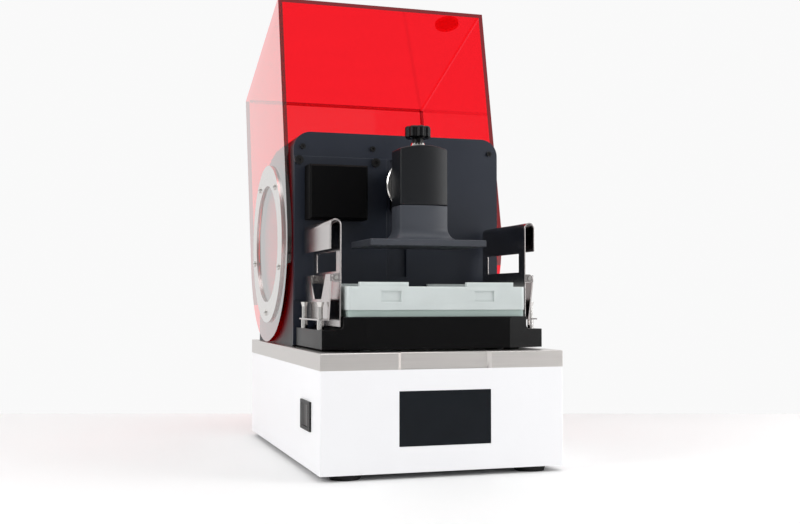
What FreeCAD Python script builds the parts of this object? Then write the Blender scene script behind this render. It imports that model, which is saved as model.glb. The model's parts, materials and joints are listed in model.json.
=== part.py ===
import FreeCAD, Part
import math
import os
import re

import Sketcher

# Desktop resin printer with a tinted hood that swings back on two large rings.
# Millimetres. X runs to the right, Y to the back and Z up. The pieces are drawn about
# the middle of the base's footprint, on the surface that the feet stand on.

doc = FreeCAD.newDocument("resin_printer")
sheet = doc.addObject("Spreadsheet::Sheet", "Sizes")

SIZES = {
    # base
    "base_width": 260, "base_depth": 400, "foot_height": 6, "shell_height": 102.6, "shell_wall": 3,
    "shell_corner": 1.5, "floor_thick": 4, "foot_radius": 17.5, "foot_taper": 2, "foot_side_inset": 30,
    "foot_end_inset": 20, "foot_bolt_radius": 5, "fit_gap": 0.2, "run_gap": 0.05, "screw_gap": 0.3,
    # deck
    "deck_thick": 17, "deck_edge": 0.6, "finger_notch_half": 50, "finger_notch_depth": 3.7,
    "light_width": 130, "light_depth": 90,
    # touch screen
    "screen_width": 98, "screen_height": 55, "screen_bottom": 32, "screen_frame": 5, "screen_depth": 12,
    # power switch on the left side
    "switch_length": 45, "switch_height": 30, "switch_y": -138, "switch_z": 60, "bezel_stand": 2,
    "rocker_length": 32, "rocker_height": 22, "rocker_radius": 9, "switch_body_depth": 18,
    "case_wall": 2, "rocker_relief": 1, "dish_radius": 64, "dish_depth": 1, "knuckle_wall": 2,
    # rear connectors and fan
    "inlet_inset": 50, "inlet_z": 45, "inlet_width": 48, "inlet_height": 28, "socket_width": 25,
    "socket_height": 17, "socket_depth": 16, "inlet_depth": 24, "blade_width": 2, "blade_height": 5,
    "blade_pitch": 7, "port_inset": 100, "port_width": 18, "port_height": 16, "port_depth": 20,
    "port_wall": 1.5,
    "fan_inset": 70, "fan_z": 58, "fan_side": 80, "fan_depth": 25, "fan_bore": 38, "fan_hub": 15,
    "fan_shaft": 2, "fan_plate": 3, "blade_thick": 1.6, "blade_angle": 35, "blade_gap": 2.5,
    "blade_root": 1, "blade_inset": 1, "rotor_gap": 1,
    "vent_width": 5, "vent_height": 62, "vent_pitch": 10,
    # light engine and electronics inside the base
    "engine_width": 100, "engine_length": 140, "engine_height": 55, "lens_radius": 32,
    "lens_step": 6, "lens_height": 20, "lens_to_deck": 2.6, "fin_thick": 2,
    "fin_pitch": 9, "fin_depth": 38, "sink_plate": 6, "supply_width": 50, "supply_length": 120,
    "supply_height": 40, "supply_gap": 12, "supply_y": 60, "board_width": 55, "board_length": 160,
    "board_thick": 1.6, "board_gap": 7.5, "board_y": 40, "board_margin": 1, "standoff_height": 15,
    "standoff_radius": 3, "chip_width": 27, "chip_length": 22, "chip_height": 5, "chip_pitch": 40,
    # hood
    "hood_wall": 5, "pivot_y": 81, "pivot_z": 246.5, "hood_radius": 116.5, "hood_top": 131,
    "hood_reach_top": 242, "hood_reach_low": 272, "open_angle": 102.5, "disc_inset": 37, "disc_up": 19,
    "disc_radius": 15, "disc_thick": 4,
    # hinge rings
    "ring_radius": 96, "ring_bore": 71, "ring_thick": 2.5, "ring_bolt_circle": 84, "ring_bolt_first": 57,
    "ring_bolt_radius": 2, "ring_head_radius": 3.6, "ring_head_height": 1.8, "ring_socket_radius": 1.4,
    "hub_radius": 90, "hub_depth": 15,
    "bush_wall": 4, "bush_flange": 8, "bush_flange_thick": 3, "bush_inset": 2,
    # rear housing and front panel
    "housing_gap": 1.5, "housing_wall": 2.5, "housing_front": -34, "housing_back": 196,
    "housing_top": 369, "housing_rear_round": 115, "housing_corner": 20, "panel_thick": 3,
    "panel_lift": 2, "slot_half": 10, "slot_low": 205, "slot_high": 340, "panel_screw_radius": 3,
    "panel_screw_head": 2.2, "panel_screw_drop": 17, "panel_screw_side": 10.5, "panel_screw_inset": 17,
    # heater on the left half of the front panel
    "plate_thick": 2, "plate_low": 178, "plate_high": 341, "plate_right": -14, "plate_inset": 0.5,
    "heater_inset": 12.5, "heater_width": 66.5, "heater_low": 268, "heater_high": 329,
    "heater_depth": 28, "heater_bevel": 2,
    "louvre_width": 4, "louvre_pitch": 9, "louvre_depth": 6, "louvre_margin": 6, "plate_screw_radius": 5,
    "plate_screw_head": 3.5, "plate_screw_inset": 14,
    # vertical drive
    "column_width": 70, "column_front": 50, "column_thick": 20, "column_top": 360, "rail_width": 15,
    "rail_depth": 12, "carriage_width": 46, "carriage_height": 60, "carriage_depth": 20, "screw_x": 40,
    "screw_y": 26, "screw_radius": 4, "screw_top": 356, "motor_side": 42, "motor_height": 40,
    "motor_plate": 4, "nut_height": 24, "bearing_thick": 12, "bearing_bottom": 342, "block_edge": 8,
    "rail_lift": 10, "rail_drop": 4, "rail_wrap": 6, "slide_gap": 2, "shaft_gap": 3, "ledge_thick": 4,
    # arm and platform
    "arm_y": -110, "arm_width": 53.6, "arm_depth": 52, "arm_low": 280, "arm_high": 341, "arm_crown": 4,
    "bar_half": 8, "bar_low": 282, "bar_high": 328, "flange_radius": 29, "flange_thick": 4,
    "clamp_bore": 4.3, "clamp_radius": 4, "collar_base": 11, "collar_tip": 7,
    "collar_height": 9, "knob_radius": 13, "knob_lobe": 3, "knob_lift": 2, "knob_height": 14,
    "knob_neck": 6, "knob_edge": 1.5, "neck_low": 242.5, "plate_half_x": 65, "plate_half_y": 40,
    "platform_low": 235.3, "platform_flare": 12, "platform_edge": 2,
    # resin tray
    "tray_half": 97, "tray_front": -178, "tray_back": -44, "tray_low": 168, "tray_high": 192,
    "tray_side_wall": 17, "tray_end_wall": 13, "tray_corner": 4, "cavity_corner": 12, "tab_in": 32,
    "tab_out": 84, "tab_height": 4.5, "tab_thick": 6, "tab_inset": 1, "window_in": 40, "window_out": 62,
    "window_low": 176.5, "window_high": 187.5, "window_depth": 1.5, "frame_inset": 1.5,
    "frame_lip": 4, "film_overlap": 8, "film_thick": 0.7, "film_seat": 1,
    # tray base
    "bed_half": 121, "bed_front": -182, "bed_back": -42, "bed_low": 128, "wing_top": 147.5,
    "bed_top": 161, "bed_raised_half": 100, "bed_flat_half": 78, "bed_sweep": 14, "bed_step_round": 5,
    "bed_edge": 3, "bed_window_x": 72, "bed_window_y": 47, "glass_lip": 6, "glass_thick": 3,
    "glass_drop": 0.5, "pad_radius": 8, "pad_x": 88, "pad_y": 50, "step_over": 1,
    # tray latches
    "sheet_thick": 1.5, "latch_in": 101, "latch_front": -168, "latch_back": -47, "latch_low": 150.5,
    "fold_z": 255, "fold_radius": 4.5, "flap_low": 230, "pin_x": 106.5, "pin_z": 201, "pin_radius": 2,
    "pin_stand": 1, "latch_ear": 4.5, "bracket_ear": 3.6, "ear_gap": 0.5, "grip_low": 208, "grip_high": 228,
    "grip_end": 16, "web_in": 110.5, "web_low": 157, "web_taper": 20, "post_x": 117.5, "post_inset": 22,
    "post_foot": 3.4, "post_radius": 2.6, "post_head": 4, "post_top": 176, "post_flare": 5,
}

for row, (alias, size) in enumerate(SIZES.items(), start=1):
    sheet.set(f"A{row}", alias)
    sheet.set(f"B{row}", str(size))
    sheet.setAlias(f"B{row}", alias)
doc.recompute()

# Places that several pieces share, written as expressions of the sizes.
SHELL_LOW = "foot_height"
DECK_LOW = "(foot_height + shell_height)"
DECK_TOP = "(foot_height + shell_height + deck_thick)"
FLOOR_TOP = "(foot_height + floor_thick)"
HALF_X = "(base_width / 2)"
HALF_Y = "(base_depth / 2)"
INNER_X = "(base_width / 2 - shell_wall)"
INNER_Y = "(base_depth / 2 - shell_wall)"
HOOD_IN = "(base_width / 2 - hood_wall)"
HOUSING_X = "(base_width / 2 - hood_wall - housing_gap)"
PANEL_FRONT = "(housing_front - panel_thick)"
PLATE_FRONT = "(housing_front - panel_thick - plate_thick)"
ARM_BACK = "(arm_y + arm_depth / 2)"
TRAY_Y = "((tray_front + tray_back) / 2)"
SCREW_BASE = "(" + DECK_TOP + " + motor_height)"
INLET_X = "(base_width / 2 - inlet_inset)"
PORT_X = "(base_width / 2 - port_inset)"
FAN_X = "(fan_inset - base_width / 2)"
SUPPLY_LEFT = "(supply_gap - " + INNER_X + ")"
BOARD_X = "(" + INNER_X + " - board_gap - board_width / 2)"
PLATE_LEFT = "(plate_inset - " + HOUSING_X + ")"
HEATER_LEFT = "(heater_inset - " + HOUSING_X + ")"
HEATER_RIGHT = "(heater_inset + heater_width - " + HOUSING_X + ")"
BAR_Z = "((bar_low + bar_high) / 2)"
KNOB_LOW = "(arm_high + collar_height + knob_lift)"
CARRIAGE_FRONT = "(column_front - rail_depth - carriage_depth + rail_wrap)"
ROTOR_DEPTH = "(fan_depth - 2 * fan_plate - 2 * rotor_gap)"
SWITCH_HOLE_Y = ("switch_y - rocker_length / 2 - case_wall", "switch_y + rocker_length / 2 + case_wall")
SWITCH_HOLE_Z = ("switch_z - rocker_height / 2 - case_wall", "switch_z + rocker_height / 2 + case_wall")

VECTOR = FreeCAD.Vector
ALONG = {
    "X": FreeCAD.Rotation(VECTOR(0, 1, 0), 90),
    "Y": FreeCAD.Rotation(VECTOR(1, 0, 0), -90),
    "Z": FreeCAD.Rotation(),
}
sub_parts = []

# Edges within this distance of a place count as lying on it, and as in line with a direction.
NEAR = 0.1
SOCKET_SHARE = 0.4
RING_BOLTS = 5


def expr(text):
    """Name the sheet before each size in an expression."""
    return re.sub(r"[a-z]\w*", lambda word: named(word.group()), text)


def named(word):
    return "Sizes." + word if word in SIZES else word


def bind(item, **values):
    for name, text in values.items():
        item.setExpression(name, expr(text))


def put(item, x="0", y="0", z="0"):
    for axis, text in zip("xyz", (x, y, z)):
        item.setExpression("Placement.Base." + axis, expr(text))


def spare_name(stem):
    return f"{stem}_{len(doc.Objects)}"


def keep(item, label):
    """Hand the object in as a sub-part under this label."""
    item.Label = label
    sub_parts.append(item)
    return item


def box(x, y, z):
    """A block between two expressions on each axis."""
    item = doc.addObject("Part::Box", spare_name("block"))
    bind(item, Length=f"{x[1]} - ({x[0]})", Width=f"{y[1]} - ({y[0]})", Height=f"{z[1]} - ({z[0]})")
    put(item, x[0], y[0], z[0])
    return item


def half_box(half, y, z):
    return box((f"-({half})", f"({half})"), y, z)


def rod(axis, radius, start, end, first, second):
    """A round bar along an axis; first and second place it on the other two axes."""
    item = doc.addObject("Part::Cylinder", spare_name("rod"))
    item.Placement = FreeCAD.Placement(VECTOR(), ALONG[axis])
    bind(item, Radius=radius, Height=f"{end} - ({start})")
    put(item, *spot(axis, start, first, second))
    return item


def cone(axis, radius_start, radius_end, start, end, first, second):
    item = doc.addObject("Part::Cone", spare_name("cone"))
    item.Placement = FreeCAD.Placement(VECTOR(), ALONG[axis])
    bind(item, Radius1=radius_start, Radius2=radius_end, Height=f"{end} - ({start})")
    put(item, *spot(axis, start, first, second))
    return item


def spot(axis, along, first, second):
    places = {"X": (along, first, second), "Y": (first, along, second), "Z": (first, second, along)}
    return places[axis]


def fuse(*pieces):
    item = doc.addObject("Part::MultiFuse", spare_name("joined"))
    item.Shapes = list(pieces)
    item.Refine = True
    return item


def cut(base, *tools):
    item = doc.addObject("Part::Cut", spare_name("cut"))
    item.Base = base
    item.Tool = tools[0] if len(tools) == 1 else fuse(*tools)
    return item


def group(*pieces):
    """Separate solids that share one node."""
    item = doc.addObject("Part::Compound", spare_name("group"))
    item.Links = list(pieces)
    return item


def mirrored(piece):
    """The same piece on the other side of the machine's middle plane."""
    item = doc.addObject("Part::Mirroring", spare_name("mirror"))
    item.Source = piece
    item.Normal = VECTOR(1, 0, 0)
    return item


def value(alias):
    return float(sheet.get(alias))


def new_body(label):
    return doc.addObject("PartDesign::Body", label)


def new_sketch(body, role, offset="0"):
    """A sketch on one of the body's own planes, moved along the plane's normal."""
    plane = [item for item in body.Origin.OriginFeatures if item.Role == role][0]
    sketch = body.newObject("Sketcher::SketchObject", spare_name("sketch"))
    sketch.AttachmentSupport = [(plane, "")]
    sketch.MapMode = "FlatFace"
    sketch.setExpression("AttachmentOffset.Base.z", expr(offset))
    return sketch


def fix_point(sketch, geometry, point, x, y):
    """Hold a point of the sketch at a place given as two expressions."""
    drawn = sketch.getPoint(geometry, point)
    for kind, text, start in (("DistanceX", x, drawn.x), ("DistanceY", y, drawn.y)):
        number = sketch.addConstraint(Sketcher.Constraint(kind, -1, 1, geometry, point, start))
        sketch.setExpression(f"Constraints[{number}]", expr(text))


def polygon(sketch, points):
    """A closed loop of straight lines through points given as expressions."""
    count = len(points)
    corners = []
    for step in range(count):
        turn = 2 * math.pi * step / count
        corners.append(VECTOR(math.cos(turn), math.sin(turn), 0))
    first = sketch.GeometryCount
    for step in range(count):
        sketch.addGeometry(Part.LineSegment(corners[step], corners[(step + 1) % count]), False)
    for step in range(count):
        following = first + (step + 1) % count
        sketch.addConstraint(Sketcher.Constraint("Coincident", first + step, 2, following, 1))
        fix_point(sketch, first + step, 1, *points[step])


def rectangle(sketch, x, y):
    polygon(sketch, [(x[0], y[0]), (x[1], y[0]), (x[1], y[1]), (x[0], y[1])])


def circle(sketch, radius, x="0", y="0"):
    number = sketch.addGeometry(Part.Circle(VECTOR(), VECTOR(0, 0, 1), 1.0), False)
    limit = sketch.addConstraint(Sketcher.Constraint("Radius", number, 1.0))
    sketch.setExpression(f"Constraints[{limit}]", expr(radius))
    fix_point(sketch, number, 3, x, y)


def pad(body, sketch, length):
    feature = body.newObject("PartDesign::Pad", spare_name("pad"))
    feature.Profile = sketch
    bind(feature, Length=length)
    return feature


def pocket(body, sketch, depth, reverse=False):
    feature = body.newObject("PartDesign::Pocket", spare_name("pocket"))
    feature.Profile = sketch
    feature.Reversed = reverse
    bind(feature, Length=depth)
    return feature


def edges_along(shape, direction, test):
    """Names of the straight edges that run along a direction and pass a test on their middle."""
    names = []
    for number, edge in enumerate(shape.Edges, start=1):
        if not isinstance(edge.Curve, Part.Line):
            continue
        middle = edge.CenterOfMass
        if edge.Curve.Direction.cross(direction).Length < NEAR and test(middle):
            names.append(f"Edge{number}")
    return names


def round_edges(body, base, names, radius, kind="PartDesign::Fillet"):
    feature = body.newObject(kind, spare_name("edge"))
    feature.Base = (base, names)
    if kind == "PartDesign::Fillet":
        bind(feature, Radius=radius)
    else:
        bind(feature, Size=radius)
    return feature


def any_place(middle):
    return True


ACROSS = VECTOR(1, 0, 0)
INWARD = VECTOR(0, 1, 0)
UPWARD = VECTOR(0, 0, 1)


# Base: shell, floor, feet and deck

def make_base_shell():
    body = new_body("shell_body")
    outline = new_sketch(body, "XY_Plane", SHELL_LOW)
    rectangle(outline, ("-" + HALF_X, HALF_X), ("-" + HALF_Y, HALF_Y))
    block = pad(body, outline, "shell_height")
    doc.recompute()
    round_edges(body, block, edges_along(block.Shape, UPWARD, any_place), "shell_corner")
    hollow = new_sketch(body, "XY_Plane", SHELL_LOW)
    rectangle(hollow, ("-" + INNER_X, INNER_X), ("-" + INNER_Y, INNER_Y))
    pocket(body, hollow, "shell_height", True)
    openings = [
        half_box("screen_width / 2 + fit_gap", ("-" + HALF_Y, "-" + INNER_Y),
                 ("screen_bottom - fit_gap", "screen_bottom + screen_height + fit_gap")),
        box(("-" + HALF_X, "-" + INNER_X), SWITCH_HOLE_Y, SWITCH_HOLE_Z),
        box((f"{INLET_X} - inlet_width / 2 - fit_gap", f"{INLET_X} + inlet_width / 2 + fit_gap"),
            (INNER_Y, HALF_Y),
            ("inlet_z - inlet_height / 2 - fit_gap", "inlet_z + inlet_height / 2 + fit_gap")),
        box((f"{PORT_X} - port_width / 2 - fit_gap", f"{PORT_X} + port_width / 2 + fit_gap"),
            (INNER_Y, HALF_Y),
            ("inlet_z - port_height / 2 - fit_gap", "inlet_z + port_height / 2 + fit_gap")),
    ]
    slots = 7
    for number in range(slots):
        middle = f"({FAN_X} + vent_pitch * {number - slots // 2})"
        openings.append(box((f"{middle} - vent_width / 2", f"{middle} + vent_width / 2"),
                            (INNER_Y, HALF_Y),
                            ("fan_z - vent_height / 2", "fan_z + vent_height / 2")))
    keep(cut(body, *openings), "base_shell")


def make_base_floor():
    floor = half_box(INNER_X + " - fit_gap", ("-" + INNER_Y + " + fit_gap", INNER_Y + " - fit_gap"),
                     (SHELL_LOW, FLOOR_TOP))
    keep(floor, "base_floor")
    feet = []
    for side in ("-", ""):
        for end in ("-", ""):
            x = f"{side}({HALF_X} - foot_side_inset)"
            y = f"{end}({HALF_Y} - foot_end_inset)"
            disc = cone("Z", "foot_radius - foot_taper", "foot_radius", "0", "foot_height", x, y)
            feet.append(cut(disc, rod("Z", "foot_bolt_radius", "0", "foot_height / 2", x, y)))
    keep(group(*feet), "rubber_feet")


def make_deck():
    body = new_body("deck_body")
    outline = new_sketch(body, "XY_Plane", DECK_LOW)
    notch = "finger_notch_half - finger_notch_depth"
    polygon(outline, [
        ("-" + HALF_X, "-" + HALF_Y), ("-finger_notch_half", "-" + HALF_Y),
        (f"-({notch})", f"-{HALF_Y} + finger_notch_depth"),
        (notch, f"-{HALF_Y} + finger_notch_depth"), ("finger_notch_half", "-" + HALF_Y),
        (HALF_X, "-" + HALF_Y), (HALF_X, HALF_Y), ("-" + HALF_X, HALF_Y),
    ])
    plate = pad(body, outline, "deck_thick")
    doc.recompute()
    half_way = value("foot_height") + value("shell_height") + value("deck_thick") / 2
    rim = edges_along(plate.Shape, ACROSS, lambda middle: middle.z > half_way)
    rim += edges_along(plate.Shape, INWARD, lambda middle: middle.z > half_way)
    round_edges(body, plate, rim, "deck_edge", "PartDesign::Chamfer")
    light = new_sketch(body, "XY_Plane", DECK_LOW)
    rectangle(light, ("-light_width / 2", "light_width / 2"),
              (f"{TRAY_Y} - light_depth / 2", f"{TRAY_Y} + light_depth / 2"))
    pocket(body, light, "deck_thick", True)
    keep(body, "deck_plate")


# Screen, switch, connectors and fan

def make_screen():
    z = ("screen_bottom", "screen_bottom + screen_height")
    keep(half_box("screen_width / 2", ("-" + HALF_Y, "-" + INNER_Y), z), "screen_glass")
    frame_z = ("screen_bottom - screen_frame", "screen_bottom + screen_height + screen_frame")
    module = half_box("screen_width / 2 + screen_frame", ("-" + INNER_Y, f"-{INNER_Y} + screen_depth"), frame_z)
    keep(module, "screen_module")


def make_switch():
    y = ("switch_y - switch_length / 2", "switch_y + switch_length / 2")
    z = ("switch_z - switch_height / 2", "switch_z + switch_height / 2")
    hole_y = ("switch_y - rocker_length / 2 - screw_gap", "switch_y + rocker_length / 2 + screw_gap")
    hole_z = ("switch_z - rocker_height / 2 - screw_gap", "switch_z + rocker_height / 2 + screw_gap")
    rim = box((f"-{HALF_X} - bezel_stand", "-" + HALF_X), y, z)
    case = box(("-" + HALF_X, f"-{HALF_X} + switch_body_depth"), SWITCH_HOLE_Y, SWITCH_HOLE_Z)
    well = box((f"-{HALF_X} - bezel_stand", f"-{HALF_X} + switch_body_depth - case_wall"), hole_y, hole_z)
    pin_x = f"-{HALF_X} + rocker_radius"
    pin = rod("Z", "pin_radius", hole_z[0], hole_z[1], pin_x, "switch_y")
    keep(fuse(cut(fuse(rim, case), well), pin), "switch_bezel")
    # The rocker is a slab with a dished outer face, turning on a pin across its back.
    slab_z = ("switch_z - rocker_height / 2", "switch_z + rocker_height / 2")
    slab = box((f"-{HALF_X} - bezel_stand", f"-{HALF_X} + rocker_radius"),
               ("switch_y - rocker_length / 2 + rocker_relief", "switch_y + rocker_length / 2 - rocker_relief"),
               slab_z)
    dish = rod("Z", "dish_radius", slab_z[0], slab_z[1],
               f"-{HALF_X} - dish_radius - bezel_stand + dish_depth", "switch_y")
    knuckle = rod("Z", "pin_radius + knuckle_wall", slab_z[0], slab_z[1], pin_x, "switch_y")
    bore = rod("Z", "pin_radius + run_gap", slab_z[0], slab_z[1], pin_x, "switch_y")
    keep(cut(fuse(cut(slab, dish), knuckle), bore), "switch_rocker")


def make_connectors():
    x = (f"{INLET_X} - inlet_width / 2", f"{INLET_X} + inlet_width / 2")
    z = ("inlet_z - inlet_height / 2", "inlet_z + inlet_height / 2")
    case = box(x, (f"{HALF_Y} - inlet_depth", HALF_Y), z)
    socket = box((f"{INLET_X} - socket_width / 2", f"{INLET_X} + socket_width / 2"),
                 (f"{HALF_Y} - socket_depth", HALF_Y),
                 ("inlet_z - socket_height / 2", "inlet_z + socket_height / 2"))
    blades = []
    for step, lift in ((-1, "0"), (0, "blade_height / 2"), (1, "0")):
        middle = f"({INLET_X} + blade_pitch * {step})"
        blades.append(box((f"{middle} - blade_width / 2", f"{middle} + blade_width / 2"),
                          (f"{HALF_Y} - socket_depth", f"{HALF_Y} - shell_wall"),
                          (f"inlet_z - blade_height / 2 + {lift}", f"inlet_z + blade_height / 2 + {lift}")))
    keep(fuse(cut(case, socket), *blades), "power_inlet")
    port = box((f"{PORT_X} - port_width / 2", f"{PORT_X} + port_width / 2"), (f"{HALF_Y} - port_depth", HALF_Y),
               ("inlet_z - port_height / 2", "inlet_z + port_height / 2"))
    mouth = box((f"{PORT_X} - port_width / 2 + port_wall", f"{PORT_X} + port_width / 2 - port_wall"),
                (f"{HALF_Y} - port_depth + port_wall", HALF_Y),
                ("inlet_z - port_height / 2 + port_wall", "inlet_z + port_height / 2 - port_wall"))
    keep(cut(port, mouth), "network_port")


def make_fan():
    back = INNER_Y
    front = f"({INNER_Y} - fan_depth)"
    frame = box((f"{FAN_X} - fan_side / 2", f"{FAN_X} + fan_side / 2"), (front, back),
                ("fan_z - fan_side / 2", "fan_z + fan_side / 2"))
    tunnel = rod("Y", "fan_bore", front, back, FAN_X, "fan_z")
    plate = rod("Y", "fan_hub", f"{back} - fan_plate", back, FAN_X, "fan_z")
    shaft = rod("Y", "fan_shaft", f"{front} + fan_plate", back, FAN_X, "fan_z")
    struts = [
        box((f"{FAN_X} - fan_side / 2", f"{FAN_X} + fan_side / 2"), (f"{back} - fan_plate", back),
            ("fan_z - fan_plate / 2", "fan_z + fan_plate / 2")),
        box((f"{FAN_X} - fan_plate / 2", f"{FAN_X} + fan_plate / 2"), (f"{back} - fan_plate", back),
            ("fan_z - fan_side / 2", "fan_z + fan_side / 2")),
    ]
    keep(fuse(cut(frame, tunnel), plate, shaft, *struts), "fan_frame")
    body = new_body("rotor_body")
    hub = new_sketch(body, "XZ_Plane")
    circle(hub, "fan_hub")
    pad(body, hub, ROTOR_DEPTH)
    blade = new_sketch(body, "YZ_Plane", "fan_hub - blade_root")
    # One blade: a slanted strip, drawn end on and padded outward from the hub.
    near = "-blade_inset"
    far = f"blade_inset - {ROTOR_DEPTH}"
    lift = f"({ROTOR_DEPTH} - 2 * blade_inset) * tan(blade_angle) / 2"
    polygon(blade, [
        (near, f"-{lift}"), (far, lift), (far, f"{lift} + blade_thick"), (near, f"-{lift} + blade_thick"),
    ])
    single = pad(body, blade, "fan_bore - fan_hub + blade_root - blade_gap")
    ring = body.newObject("PartDesign::PolarPattern", "blade_ring")
    ring.Originals = [single]
    ring.Axis = (hub, ["N_Axis"])
    ring.Angle = 360
    ring.Occurrences = 7
    body.Tip = ring
    hole = new_sketch(body, "XZ_Plane")
    circle(hole, "fan_shaft + run_gap")
    pocket(body, hole, "fan_depth", True)
    put(body, FAN_X, f"{back} - fan_plate - rotor_gap", "fan_z")
    keep(body, "fan_rotor")


# Light engine and electronics

def make_light_engine():
    back = f"({TRAY_Y} + engine_length / 2)"
    front = f"({TRAY_Y} - engine_length / 2)"
    top = f"({FLOOR_TOP} + engine_height)"
    keep(half_box("engine_width / 2", (front, back), (FLOOR_TOP, top)), "light_engine")
    tip = f"({DECK_LOW} - lens_to_deck)"
    barrel = fuse(
        rod("Z", "lens_radius", top, f"{top} + lens_height", "0", TRAY_Y),
        rod("Z", "lens_radius - lens_step", f"{top} + lens_height", tip, "0", TRAY_Y))
    keep(barrel, "projection_lens")
    z = (FLOOR_TOP, top)
    pieces = [half_box("engine_width / 2 - fin_pitch / 2", (back, f"{back} + sink_plate"), z)]
    fins = 9
    for number in range(fins):
        middle = f"(fin_pitch * {number - fins // 2})"
        pieces.append(box((f"{middle} - fin_thick / 2", f"{middle} + fin_thick / 2"),
                          (f"{back} + sink_plate", f"{back} + sink_plate + fin_depth"), z))
    keep(fuse(*pieces), "heat_sink")


def make_electronics():
    supply = box((SUPPLY_LEFT, f"{SUPPLY_LEFT} + supply_width"),
                 ("supply_y - supply_length / 2", "supply_y + supply_length / 2"),
                 (FLOOR_TOP, f"{FLOOR_TOP} + supply_height"))
    keep(supply, "power_supply")
    low = f"({FLOOR_TOP} + standoff_height)"
    board = box((f"{BOARD_X} - board_width / 2", f"{BOARD_X} + board_width / 2"),
                ("board_y - board_length / 2", "board_y + board_length / 2"), (low, f"{low} + board_thick"))
    chips = []
    for number in range(3):
        middle = f"(board_y + chip_pitch * {number - 1})"
        chips.append(box((f"{BOARD_X} - chip_width / 2", f"{BOARD_X} + chip_width / 2"),
                         (f"{middle} - chip_length / 2", f"{middle} + chip_length / 2"),
                         (f"{low} + board_thick", f"{low} + board_thick + chip_height")))
    keep(fuse(board, *chips), "main_board")
    posts = []
    for side in ("-", "+"):
        for end in ("-", "+"):
            posts.append(rod("Z", "standoff_radius", FLOOR_TOP, low,
                             f"{BOARD_X} {side} (board_width / 2 - standoff_radius - board_margin)",
                             f"board_y {end} (board_length / 2 - standoff_radius - board_margin)"))
    keep(group(*posts), "board_standoffs")


# Rear housing, front panel and heater

def housing_block(label, inset):
    """The housing's outside, or its inside when the wall is taken off all round."""
    body = new_body(label)
    profile = new_sketch(body, "YZ_Plane", f"-({HOUSING_X} - {inset})")
    rectangle(profile, ("housing_front", f"housing_back - {inset}"), (DECK_TOP, f"housing_top - {inset}"))
    block = pad(body, profile, f"2 * ({HOUSING_X} - {inset})")
    doc.recompute()
    half_y = (value("housing_back") + value("housing_front")) / 2
    half_z = (value("housing_top") + value("pivot_z")) / 2
    rear_edge = edges_along(block.Shape, ACROSS, lambda middle: middle.z > half_z and middle.y > half_y)
    curved = round_edges(body, block, rear_edge, f"housing_rear_round - {inset}")
    doc.recompute()
    sides = edges_along(curved.Shape, INWARD, lambda middle: middle.z > half_z)
    round_edges(body, curved, sides, f"housing_corner - {inset}")
    return body


def make_housing():
    outside = housing_block("housing_outer", "0")
    inside = housing_block("housing_inner", "housing_wall")
    bore = rod("X", "hub_radius + run_gap + bush_wall", "-" + HOUSING_X, HOUSING_X, "pivot_y", "pivot_z")
    keep(cut(outside, inside, bore), "rear_housing")


def make_front_panel():
    body = new_body("panel_body")
    outline = new_sketch(body, "XZ_Plane", "-housing_front")
    rectangle(outline, ("-" + HOUSING_X, HOUSING_X), (f"{DECK_TOP} + panel_lift", "housing_top"))
    plate = pad(body, outline, "panel_thick")
    doc.recompute()
    half_z = (value("housing_top") + value("pivot_z")) / 2
    corners = edges_along(plate.Shape, INWARD, lambda middle: middle.z > half_z)
    round_edges(body, plate, corners, "housing_corner")
    slot = new_sketch(body, "XZ_Plane", "-housing_front")
    rectangle(slot, ("-slot_half", "slot_half"), ("slot_low", "slot_high"))
    pocket(body, slot, "panel_thick", True)
    keep(body, "front_panel")


def button_screw(x, z, face, radius, height):
    """A domed screw head that stands on a face looking to the front."""
    head = rod("Y", radius, f"{face} - {height}", face, x, z)
    recess = rod("Y", f"{radius} * {SOCKET_SHARE}", f"{face} - {height}", f"{face} - {height} / 2", x, z)
    return cut(head, recess)


def make_heater():
    y = (PLATE_FRONT, PANEL_FRONT)
    plate = box((PLATE_LEFT, "plate_right"), y, ("plate_low", "plate_high"))
    keep(plate, "heater_plate")
    body = new_body("heater_body")
    outline = new_sketch(body, "XZ_Plane", "-" + PLATE_FRONT)
    rectangle(outline, (HEATER_LEFT, HEATER_RIGHT), ("heater_low", "heater_high"))
    case = pad(body, outline, "heater_depth")
    doc.recompute()
    back = value("housing_front") - value("panel_thick") - value("plate_thick")
    half_way = back - value("heater_depth") / 2
    rim = edges_along(case.Shape, ACROSS, lambda middle: middle.y < half_way)
    rim += edges_along(case.Shape, UPWARD, lambda middle: middle.y < half_way)
    round_edges(body, case, rim, "heater_bevel", "PartDesign::Chamfer")
    louvres = []
    rows = 5
    for number in range(rows):
        middle = f"((heater_low + heater_high) / 2 + louvre_pitch * {number - rows // 2})"
        louvres.append(box((f"{HEATER_RIGHT} - louvre_depth", HEATER_RIGHT),
                           (f"{PLATE_FRONT} - heater_depth + louvre_margin", f"{PLATE_FRONT} - louvre_margin"),
                           (f"{middle} - louvre_width / 2", f"{middle} + louvre_width / 2")))
    keep(cut(body, *louvres), "heater_box")
    screws = []
    for x in (f"{PLATE_LEFT} + plate_screw_radius", "plate_right - plate_screw_inset"):
        screws.append(button_screw(x, "plate_high - plate_screw_radius", PLATE_FRONT,
                                   "plate_screw_radius", "plate_screw_head"))
    side = f"({HOUSING_X} - panel_screw_side)"
    for x in ("-" + side, "plate_right - panel_screw_inset", side):
        screws.append(button_screw(x, "housing_top - panel_screw_drop", PANEL_FRONT,
                                   "panel_screw_radius", "panel_screw_head"))
    keep(group(*screws), "front_screws")


# Vertical drive inside the housing

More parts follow.
